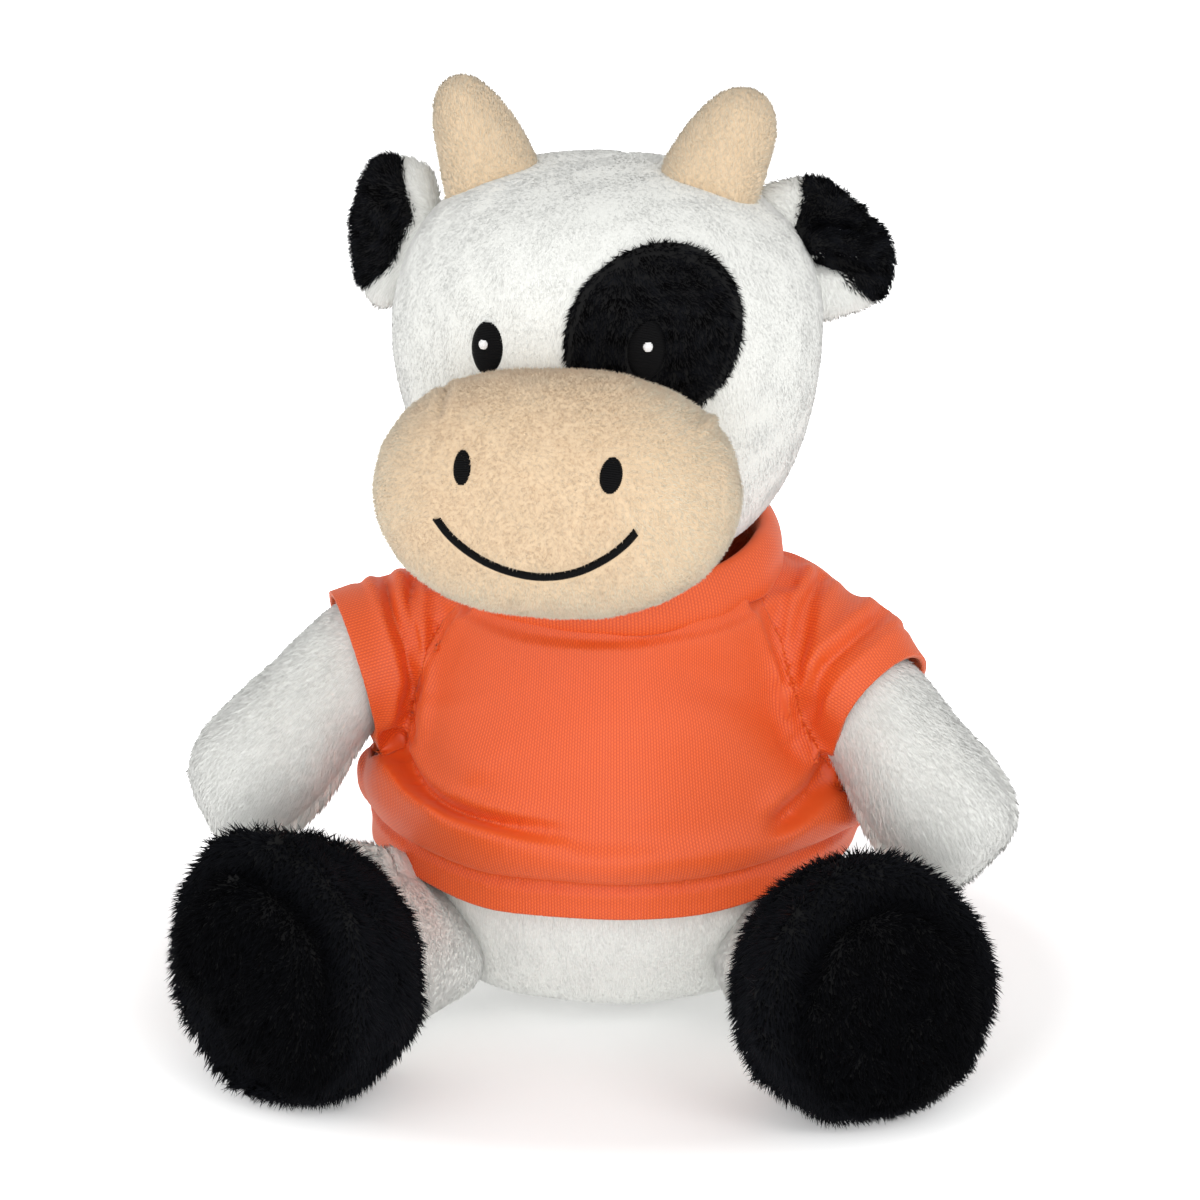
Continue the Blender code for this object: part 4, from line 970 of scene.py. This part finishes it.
finished(head, "white_plush", ["head_skin", "head_filling", "neck_wad"], "head")
finished(muzzle, "peach_plush", ["muzzle_skin", "muzzle_filling"], "head")
finished(torso, "white_plush", ["torso_skin", "torso_filling", "pellet_bag"], "torso")
for word in ("left", "right"):
    for form, slot, name, nodes, fill in (
            (arms[word], "white_plush", "arm", ("skin", "filling"), 0.85),
            (legs[word], "white_plush", "leg", ("skin", "filling"), 0.85),
            (feet[word], "black_long_plush", "foot", ("skin", "sole", "filling"), 0.9),
            (horns[word], "peach_plush", "horn", ("skin", "filling"), 0.9)):
        body = {"arm": f"arm_{word}", "leg": f"leg_{word}", "foot": f"leg_{word}", "horn": "head"}[name]
        finished(form, slot, [f"{name}_{word}_{node}" for node in nodes], body)

# Ears: a white back whose root shows in front, and a black front
# Each has its hinge, its turn from the view, the column of its middle and its two outlines
EARS = {
    "right": ((-0.0333, 0.0094, 0.1432), -0.35, 400.0,
              [(441, 215), (437, 180), (430, 166), (419, 160), (404, 155), (392, 155), (380, 160), (368, 170),
               (360, 185), (355, 203), (353, 225), (356, 252), (359, 275), (364, 292), (371, 302), (381, 307),
               (392, 306), (402, 290), (420, 275), (440, 255)],
              [(388, 153), (399, 155), (404, 167), (408, 187), (413, 204), (417, 218), (410, 232), (401, 247),
               (396, 268), (377, 279), (362, 289), (357, 277), (353, 251), (351, 212), (355, 199), (361, 180),
               (368, 164), (378, 156)]),
    "left": ((0.0344, 0.0035, 0.1432), 0.35, 830.0,
             [(757, 215), (757, 190), (768, 184), (779, 180), (801, 176), (817, 178), (831, 186), (846, 199),
              (860, 214), (875, 223), (884, 233), (890, 249), (892, 266), (886, 287), (875, 301), (864, 308),
              (830, 318), (818, 320), (808, 305), (795, 285), (770, 250)],
             [(803, 175), (817, 176), (830, 182), (848, 196), (861, 212), (876, 220), (886, 230), (892, 248),
              (895, 265), (888, 289), (876, 302), (871, 297), (853, 287), (830, 270), (814, 263), (799, 256),
              (787, 237), (796, 217), (802, 196)]),
}
ears = {}
for word, (hinge, yaw, middle, white_line, black_line) in EARS.items():
    depth = photo_depth(hinge)
    back = drawn_form(f"ear_{word}_back_cloth", white_line, depth + 1.5 * MM, 3.4 * MM, 4.5 * MM, 1.1 * MM, yaw,
                      middle)
    front = drawn_form(f"ear_{word}_front_cloth", black_line, depth - 0.7 * MM, 3.0 * MM, 4.0 * MM, 1.0 * MM, yaw,
                       middle, 4)
    for form in (back, front):
        applied(form, "SUBSURF", levels=1, render_levels=1)
    ears[word] = (back, front)
    finished(back, "white_plush", [f"ear_{word}_back"], f"ear_{word}")
    finished(front, "black_plush", [f"ear_{word}_front"], f"ear_{word}")
press(ears["right"][1], [(365, 185), (380, 215), (392, 242)], 1.1, 0.9, shoulder=0.8)
for layer in ears["left"]:
    press(layer, [(806, 221), (835, 225), (864, 232)], 1.3, -2.4, shoulder=0.6)
    press(layer, [(804, 241), (840, 243), (880, 252)], 1.6, 1.0)
    press(layer, [(800, 260), (840, 262), (885, 272)], 1.3, -1.4, shoulder=0.6)
    press(layer, [(806, 190), (824, 204), (850, 214)], 1.1, -0.7, shoulder=0.8)

# Black patch round the left eye: its middle, width, height, tilt in degrees and squareness
PATCH = ((0.0142, 0.1355), 0.0298, 0.0314, -18.0, 2.2)
deselect()
bpy.ops.mesh.primitive_circle_add(vertices=64, radius=1.0, fill_type="NGON")
patch = bpy.context.active_object
patch.name = "eye_patch_cloth"
with in_edit(patch):
    for _ in range(9):
        bpy.ops.mesh.inset(thickness=0.1)
head_tree = tree_of(head)
muzzle_tree = tree_of(muzzle)
places = vertex_array(patch) * 0.97
(patch_x, patch_z), wide, tall, tilt, _ = PATCH
tilt = math.radians(tilt)
for index, (x, y, _) in enumerate(places):
    across = x * wide / 2.0 * math.cos(tilt) - y * tall / 2.0 * math.sin(tilt) + patch_x
    height = x * wide / 2.0 * math.sin(tilt) + y * tall / 2.0 * math.cos(tilt) + patch_z
    places[index] = on_face(head_tree, across, height, 0.2 * MM)
set_places(patch, places)
with in_edit(patch):
    bpy.ops.mesh.normals_make_consistent(inside=False)
if float(normal_array(patch)[0] @ FACE_BACK) > 0.0:
    with in_edit(patch):
        bpy.ops.mesh.flip_normals()
applied(patch, "SOLIDIFY", thickness=0.5 * MM, offset=1.0)
finished(patch, "black_plush", ["eye_patch"], "head")

# Eyes, nostrils and smile in satin stitch
# Each is the pixel of its middle, and its width and height in pixels
EYES = {"left": ((646, 350), 33, 50), "right": ((487, 348), 33, 46)}
NOSTRILS = {"left": ((611, 476), 22, 30), "right": ((462, 468), 18, 29)}
# Where embroidery lies, so that no pile grows there
bare = []
for word, (px, wide, tall) in EYES.items():
    centre = face_at(px, head_tree)
    size = (wide / PX_PER_MM * MM, tall / PX_PER_MM * 1.04 * MM)
    lift = 1.3 * MM if word == "left" else 0.55 * MM
    threads(f"eye_{word}", head_tree, satin_oval(centre, *size, SATIN_PITCH, lift, 0.08))
    threads(f"eye_glint_{word}", head_tree,
            satin_oval((centre[0], centre[1] + 0.7 * MM), 1.5 * MM, 1.5 * MM, 0.25 * MM, lift + 0.75 * MM),
            "white_thread")
    bare.append((centre, size[0] * 1.08, size[1] * 1.06))
for word, (px, wide, tall) in NOSTRILS.items():
    centre = face_at(px, muzzle_tree)
    size = (wide / PX_PER_MM * MM, tall / PX_PER_MM * 1.03 * MM)
    threads(f"nostril_{word}", muzzle_tree, satin_oval(centre, *size, SATIN_PITCH, 0.3 * MM, 0.08))
    bare.append((centre, size[0] * 1.06, size[1] * 1.06))
SMILE_PX = [(437, 519), (450, 537), (475, 557), (505, 571), (540, 578), (575, 574), (605, 560), (625, 545), (636, 532)]
smile = np.array([face_at(px, muzzle_tree) for px in rounded_line(SMILE_PX)])
steps = np.linalg.norm(np.diff(smile, axis=0), axis=1)
reach = np.concatenate(([0.0], np.cumsum(steps)))
stops = np.arange(0.0, reach[-1], 0.3 * MM)
mid = np.stack([np.interp(stops, reach, smile[:, k]) for k in (0, 1)], axis=1)
heading = unit(np.gradient(mid, axis=0))
paths = []
for (x, z), (hx, hz) in zip(mid, heading):
    nx, nz = -hz + 0.45 * hx, hx + 0.45 * hz
    paths.append([(x + s * nx * 0.62 * MM, z + s * nz * 0.62 * MM, 0.7 * MM - 0.75 * MM * abs(s) ** 3)
                  for s in (-1.0, -0.7, -0.3, 0.3, 0.7, 1.0)])
threads("smile_stitch", muzzle_tree, paths)


def off_smile(points):
    flat = face_places(points)[:, :2]
    near = np.full(len(flat), 1.0)
    for place in mid[::3]:
        near = np.minimum(near, np.linalg.norm(flat - place, axis=1))
    return near > 1.1 * MM


# Shirt body and sleeves as one cloth, cut apart along the raglan seams
# Each has its axis, its mouth's pixel, the arm's direction and reach, and rows of height and radius in millimetres
SLEEVES = {
    "right": ((-0.93, -0.30, -0.246), (353, 668), (-0.7861, -0.3834, -0.4848), 18.5 * MM,
              [(-34.0, 13.5), (-24.0, 14.6), (-12.0, 14.4), (-5.0, 14.8), (0.0, 14.8), (2.5, 14.8)]),
    "left": ((0.779, -0.430, -0.455), (876, 715), (0.7362, -0.3591, -0.5736), 16.5 * MM,
             [(-34.0, 14.0), (-26.0, 15.2), (-18.0, 14.8), (-11.0, 15.8), (-5.0, 14.8), (0.0, 13.5), (2.5, 13.5)]),
}
HEM = 0.0262
COLLAR_TILT = math.radians(9.0)
COLLAR_RADIUS, COLLAR_ROLL = 0.0292, 0.0025
COLLAR_AXIS = np.array((0.0, -math.sin(COLLAR_TILT), math.cos(COLLAR_TILT)))
COLLAR_CENTRE = np.array((0.0, 0.0, 0.0862))
NECK_PLANE = COLLAR_CENTRE - COLLAR_AXIS * 2.5 * MM
NECK_REACH = 31.8 * MM
CUFF_REACH, CUFF_DEPTH = 2.0 * MM, 4.0 * MM


def hem_rise(points):
    """How far the hem rides up over the hips."""
    return (3.2 * MM * smoothstep((np.abs(points[:, 0]) - 0.016) / 0.028)
            * smoothstep((HEM + 0.018 - points[:, 2]) / 0.018))


# Height, half width and half depth
body_rows = [(0.0215, 0.0440, 0.0385), (HEM, 0.0443, 0.0391), (0.0309, 0.0449, 0.0401), (0.0368, 0.0452, 0.0409),
             (0.0446, 0.0437, 0.0404), (0.0524, 0.0410, 0.0388), (0.0605, 0.0383, 0.0364), (0.0683, 0.0356, 0.0341),
             (0.0757, 0.0333, 0.0324), (0.0823, 0.0313, 0.0312), (0.0885, 0.0298, 0.0301), (0.0945, 0.0290, 0.0292)]
parts = [ringed_form("shirt_body_start", body_rows, 56)]
flanks = tree_of(parts[0])
cuffs = {}
for word, (axis, px, arm, out, rows) in SLEEVES.items():
    axis = unit(np.array([axis]))[0]
    centre = at_photo(px, photo_depth(SHOULDER[word] + np.array(arm) * out))
    rows = [(along * MM, radius * MM, radius * MM) for along, radius in rows]
    parts.append(ringed_form(f"sleeve_{word}_start", rows, 36, axis, centre))
    cuffs[word] = (centre, axis, rows[-1][1])
    # The arm fills its sleeve's mouth
    places = vertex_array(arms[word])
    along = (places - centre) @ axis
    shift = centre - places[np.abs(along) < 2.5 * MM].mean(axis=0)
    shift -= (shift @ axis) * axis
    places += np.exp(-(along / (14.0 * MM)) ** 2)[:, None] * shift
    set_places(arms[word], places - normal_array(arms[word]) * 2.6 * MM
               * smoothstep((-along - 3.0 * MM) / (5.0 * MM))[:, None])
places = vertex_array(torso)
swell(torso, -2.2 * MM * smoothstep((places[:, 2] - hem_rise(places) - HEM - 3.0 * MM) / (6.0 * MM)))
shirt = joined("shirt", parts)
even_skin(shirt, 1.24 * MM, 8)
applied(shirt, "SUBSURF", levels=1, render_levels=1)

# Seams and folds, drawn over the photograph
RAGLAN = {
    "right": [(474, 560), (467, 595), (443, 620), (427, 650), (416, 690), (410, 722), (404, 747), (404, 850)],
    "left": [(752, 560), (763, 603), (780, 637), (792, 683), (803, 722), (819, 752), (830, 769), (830, 870)],
}
pull(shirt, [(880, 604), (900, 622)], (0.8, 1.2, 0.0), 4.0)
for side in (1.0, -1.0):
    press(shirt, [(372, 766), (388, 800), (430, 826), (500, 849), (580, 862), (680, 860), (770, 847), (846, 820)],
          4.2, 2.3, side, (0.0, 0.0))
press(shirt, [(390, 730), (398, 762), (417, 791), (442, 808), (480, 822), (520, 831), (600, 843)], 1.4, -4.4,
      taper=(0.02, 0.6), shoulder=0.2)
pull(shirt, [(384, 775), (405, 802), (425, 814)], (-0.3, 1.0, 0.7), 3.0)
pull(shirt, [(384, 775), (405, 802), (440, 822), (490, 837), (560, 847)], (0.0, 1.0, 0.7), 2.8)
# Each is a line, a width and a height, then its side, the tapers of its ends and how much the cloth beside it gives
for fold in (
        ([(480, 832), (600, 846), (740, 838)], 3.0, -0.7, 1.0, (0.3, 0.4)),
        ([(838, 766), (812, 795), (790, 816), (762, 840)], 1.7, -2.6, 1.0, (0.02, 0.4), 0.4),
        ([(846, 785), (850, 812), (842, 838)], 3.0, 1.4),
        ([(640, 660), (730, 686), (780, 712), (812, 742), (834, 768)], 4.5, -1.8, 1.0, (0.4, 0.05), 0.35),
        ([(445, 690), (455, 740), (490, 785)], 6.0, 0.9),
        ([(383, 572), (397, 620), (408, 657), (414, 690), (408, 722), (396, 745)], 1.2, -2.4, 1.0, (0.05, 0.1), 0.45),
        ([(414, 572), (410, 605), (414, 640), (420, 668)], 1.0, -1.6, 1.0, (0.05, 0.3), 0.5),
        ([(824, 572), (808, 600), (803, 627), (797, 657), (796, 692)], 1.3, -1.4, 1.0, (0.05, 0.2), 0.5),
        ([(892, 604), (857, 637), (827, 663), (812, 690), (808, 724)], 1.4, -1.7, 1.0, (0.1, 0.1), 0.45)):
    press(shirt, *fold)
for line, body_side in ((RAGLAN["right"], 10.0), (RAGLAN["left"], -10.0)):
    for side in (1.0, -1.0):
        press(shirt, [(x + body_side, y) for x, y in line[:-1]], 1.9, 1.0, side, (0.05, 0.1))
        press(shirt, line[:-1], 1.2, -1.3, side, (0.0, 0.05))
for line, width, height in (([(420, 640), (480, 700), (520, 780)], 4.0, -1.2),
                            ([(800, 640), (740, 700), (700, 790)], 4.0, -1.2),
                            ([(560, 620), (600, 690), (640, 780)], 3.5, -0.7)):
    press(shirt, line, width, height, -1.0, shoulder=0.3)
band(shirt, (0.0, 0.0, 0.0322), (0.0, 0.0, 1.0), 0.9, -1.9)
band(shirt, (0.0, 0.0, HEM), (0.0, 0.0, 1.0), 2.2, 0.7)
for centre, axis, _ in cuffs.values():
    band(shirt, centre - axis * 0.0058, axis, 0.6, -0.5,
         lambda p: (np.linalg.norm(p - centre, axis=1) < 0.021).astype(float))
rumple(shirt, 30.0, 0.35, 90)
# The neckband's edge is sewn over the shirt's neck
places = vertex_array(shirt)
along = (places - COLLAR_CENTRE) @ COLLAR_AXIS
off = np.linalg.norm(places - COLLAR_CENTRE - along[:, None] * COLLAR_AXIS, axis=1)
swell(shirt, -1.4 * MM * smoothstep((along + 5.8 * MM) / (1.4 * MM)) * smoothstep((0.037 - off) / 0.003))
applied(shirt, "SMOOTH", factor=0.5, iterations=5)
# The armpits gather softly
soft = shirt.vertex_groups.new(name="armpits")
for line in RAGLAN.values():
    off = np.linalg.norm(in_photo(vertex_array(shirt)) - line[-2], axis=1)
    soft.add([int(i) for i in np.flatnonzero(off < 60.0)], 0.5, "REPLACE")
    soft.add([int(i) for i in np.flatnonzero(off < 26.0)], 1.0, "REPLACE")
applied(shirt, "SMOOTH", factor=0.5, iterations=14, vertex_group="armpits")

# Cuts at the neck, hem and cuffs, and along the raglan seams down to the armpit
for line in RAGLAN.values():
    for a, b in zip(line, line[1:]):
        score(shirt, EYE, np.cross(at_photo(a, 1.0) - EYE, at_photo(b, 1.0) - EYE),
              along_line(in_photo(face_centres(shirt)), [a, b])[0] < 1.2 * MM)
beside = {}
for word, (_, axis, _) in cuffs.items():
    down = axis * axis[2] - np.array((0.0, 0.0, 1.0))
    down /= np.linalg.norm(down)
    places = vertex_array(shirt)
    off = np.linalg.norm(in_photo(places) - RAGLAN[word][-2], axis=1) + 900.0 * (normal_array(shirt) @ AHEAD > 0.0)
    armpit = places[np.argmin(off)]
    centres = face_centres(shirt)
    score(shirt, armpit, down, np.abs((centres - armpit) @ down) < 1.2 * MM)
    beside[word] = (armpit, down)
cut_open(shirt, NECK_PLANE, COLLAR_AXIS, NECK_REACH)
cut_open(shirt, (0.0, 0.0, HEM), (0.0, 0.0, -1.0))
for centre, axis, cuff in cuffs.values():
    cut_open(shirt, centre, axis, cuff + CUFF_REACH, CUFF_DEPTH, flanks)
with in_edit(shirt):
    bpy.ops.mesh.remove_doubles(threshold=0.14 * MM)
OUTSIDE = {"right": [(404, 900), (100, 900), (100, 400), (474, 400)],
           "left": [(830, 900), (1100, 900), (1100, 400), (752, 400)]}
centres = face_centres(shirt)
side_of = {}
for word, (centre, axis, _) in cuffs.items():
    armpit, down = beside[word]
    side_of[word] = (within(in_photo(centres), RAGLAN[word] + OUTSIDE[word]) & ((centres - armpit) @ down < 0.0)
                     & ((centres - centre) @ axis < 0.0))
places = vertex_array(shirt)
places[:, 2] += hem_rise(places)
set_places(shirt, places)
panels = {word: keep_faces(shirt, f"sleeve_{word}_knit", side_of[word]) for word in RAGLAN}
body = keep_faces(shirt, "shirt_body_knit", ~(side_of["left"] | side_of["right"]))
bpy.data.objects.remove(shirt, do_unlink=True)
for piece in (body, *panels.values()):
    applied(piece, "SOLIDIFY", thickness=KNIT_THICKNESS, offset=-1.0)
finished(body, "orange_knit", ["shirt_front", "shirt_back"], "torso", paint=knit_material("orange_interlock_body"))
# A plane through each sleeve's armpit, halfway between its raglan seam and its cuff
SLEEVE_BEND = {"right": ((-0.0414, -0.0149, 0.0484), (-0.986, -0.162, 0.032)),
               "left": ((0.0418, -0.0116, 0.0482), (0.991, -0.135, -0.026))}
BEND_BEFORE, BEND_AFTER = 3.0 * MM, 2.0 * MM
for word, piece in panels.items():
    centre, axis, _ = cuffs[word]
    armpit, outward = (np.array(part) for part in SLEEVE_BEND[word])
    finished(piece, "orange_knit", [f"sleeve_{word}"],
             blend=("torso", f"arm_{word}", tuple(armpit - outward * BEND_BEFORE),
                    tuple(armpit + outward * BEND_AFTER)),
             paint=knit_material(f"orange_interlock_sleeve_{word}", axis, centre, 16.0 * MM))

# Neckband, a strip folded over and sewn to the neck
deselect()
bpy.ops.mesh.primitive_torus_add(major_segments=112, minor_segments=28, major_radius=COLLAR_RADIUS,
                                 minor_radius=COLLAR_ROLL)
collar = bpy.context.active_object
collar.name = "neckband_knit"
with in_edit(collar):
    bpy.ops.mesh.bisect(plane_co=(0.0, 0.0, -0.0021), plane_no=(0.0, 0.0, -1.0), clear_outer=True)
places = vertex_array(collar)
places[:, :2] *= 1.0 - 0.032 * places[:, 2:] / COLLAR_ROLL
places[:, 2] *= 1.95
set_places(collar, places @ np.array(Matrix.Rotation(COLLAR_TILT, 3, "X")).T + COLLAR_CENTRE)
rumple(collar, 14.0, 0.3, 97)
applied(collar, "SOLIDIFY", thickness=KNIT_THICKNESS, offset=-1.0, use_quality_normals=True)
finished(collar, "orange_knit", ["collar"], "torso",
         paint=knit_material("orange_interlock_neckband", tuple(COLLAR_AXIS), tuple(COLLAR_CENTRE), 30.0 * MM))

# Tail
cord = taut_form("tail_cord_cloth", ["tail_cord"], 0.6 * MM, 0.8 * MM, 3)
tuft = taut_form("tail_tuft_cloth", ["tail_tuft"], 1.5 * MM, 1.0 * MM, 3)
finished(cord, "white_plush", ["tail_cord"], "tail")
finished(tuft, "black_plush", ["tail_tuft"], "tail")


# Pile
def clear_of(points, *ovals):
    """Which points lie outside every one of the ovals."""
    return np.all([in_oval(points, *oval) > 1.0 for oval in ovals], axis=0)


def on_patch(points):
    """The patch without its eye and without the fine parting inside its seam."""
    share = in_oval(points, *PATCH)
    return (share < 1.02) & (np.abs(share - 0.90) > 0.016) & clear_of(points, bare[0])


def muzzle_nap(at, out):
    flat = face_places(at)
    centre = flat[:, :2] - np.array((0.0, 0.112))
    return FACE_SIDE * centre[:, :1] * 30.0 + np.array((0.0, 0.0, 1.0)) * (centre[:, 1:] * 20.0 - 0.6)


def from_root(root, fall=0.5):
    def nap(at, out):
        return unit(at - np.array(root)) + np.array((0.0, 0.0, -fall))
    return nap


def muzzle_tint(points):
    """Painted light: paler and cooler on the muzzle's flanks and lower part, where the nap turns from the light."""
    flat = face_places(points)
    rows = 0.2 * np.sin(flat[:, 1] / (1.2 * MM) * math.tau + ripples(points, 9.0 * MM, 6)[:, 0])
    rows = rows * smoothstep((flat[:, 0] - 0.002) / 0.008) + 0.12 * ripples(points, 7.0 * MM, 5)[:, 0]
    low = smoothstep((0.106 - flat[:, 1]) / 0.012)
    flank = smoothstep((np.abs(flat[:, 0] + 0.004) - 0.012) / 0.016)
    return 0.85 - 0.65 * np.maximum(low, flank) + rows


SOFT_WHITE = {"softness": 0.95, "stray": 0.14, "swirl": 0.1, "unrest": 0.35}
VELVET = {"softness": 0.75, "stray": 0.4, "swirl": 0.25, "swirl_size": 6.0}
# Black piles: tufts that turn more freely, and clumps of the paler tint that lay the painted highlights in streaks
GLOSSY_WITH_PAINTED_HIGHLIGHTS = {"softness": 0.35, "stray": 0.3, "swirl": 0.45,
          "tint": lambda points: 0.3 + 0.28 * ripples(points, 3.0 * MM, 7)[:, 0]}
grow_pile("head_pile", head, "head", "white_plush", 0.42, 1.6, 0.42, 76.0, downwards, 11,
          [muzzle, *horns.values()], lambda p: clear_of(p, PATCH, *bare[:2]), parts=4, **SOFT_WHITE)
grow_pile("eye_patch_pile", patch, "head", "black_plush", 0.36, 1.9, 0.3, 52.0, downwards, 12,
          [muzzle], on_patch, **GLOSSY_WITH_PAINTED_HIGHLIGHTS)
grow_pile("muzzle_pile", muzzle, "head", "peach_plush", 0.4, 1.1, 0.28, 45.0, muzzle_nap, 13,
          [head], lambda p: off_smile(p) & clear_of(p, *bare[2:]), tint=muzzle_tint, parts=2, **VELVET)
grow_pile("torso_pile", torso, "torso", "white_plush", 0.48, 1.8, 0.44, 72.0, downwards, 14,
          [*legs.values()], lambda p: p[:, 2] < HEM + 3.0 * MM + hem_rise(p), parts=3, **SOFT_WHITE)
for index, (word, sign) in enumerate((("left", 1.0), ("right", -1.0))):
    centre, axis, _ = cuffs[word]
    pole, outward = FOOT[word]
    grow_pile(f"horn_{word}_pile", horns[word], "head", "peach_plush", 0.36, 1.1, 0.26, 45.0,
              lambda at, out: np.tile((0.0, 0.0, 1.0), (len(at), 1)), 20 + index, [head],
              tint=lambda p: np.full(len(p), 0.25), **VELVET)
    grow_pile(f"arm_{word}_pile", arms[word], f"arm_{word}", "white_plush", 0.42, 2.0, 0.4, 67.0,
              from_root(SHOULDER[word]), 24 + index, (), lambda p: (p - centre) @ axis > -3.0 * MM, **SOFT_WHITE)
    grow_pile(f"leg_{word}_pile", legs[word], f"leg_{word}", "white_plush", 0.44, 1.8, 0.42, 70.0,
              from_root(HIP[word]), 28 + index, [torso, feet[word]], **SOFT_WHITE)
    # The feet's paler tips, which are painted highlights, mostly stay off the soles
    grow_pile(f"foot_{word}_pile", feet[word], f"leg_{word}", "black_long_plush", 0.43, 3.3, 0.4, 46.0,
              lambda at, out: np.tile((0.3 * sign, -0.35, -0.8), (len(at), 1)), 32 + index, [legs[word]], swirl=0.5,
              swirl_size=7.0, softness=0.4, stray=0.3,
              tint=lambda p: 0.55 - 0.42 * smoothstep(((p - pole) @ outward - 0.029) / 0.004))
    back, front = ears[word]
    hinge = EARS[word][0]
    grow_pile(f"ear_{word}_back_pile", back, f"ear_{word}", "white_plush", 0.42, 1.7, 0.34, 62.0,
              from_root(hinge), 36 + index, [head, front], **SOFT_WHITE)
    grow_pile(f"ear_{word}_front_pile", front, f"ear_{word}", "black_plush", 0.38, 2.1, 0.3, 52.0,
              from_root(hinge), 40 + index, [back], **GLOSSY_WITH_PAINTED_HIGHLIGHTS)
grow_pile("tail_cord_pile", cord, "tail", "white_plush", 0.42, 1.5, 0.3, 60.0,
          from_root(TAIL_ROOT), 44, [torso], **SOFT_WHITE)
grow_pile("tail_tuft_pile", tuft, "tail", "black_plush", 0.45, 3.4, 0.4, 50.0,
          from_root(TAIL_ROOT), 45, segments=2, curl=0.3, **GLOSSY_WITH_PAINTED_HIGHLIGHTS)
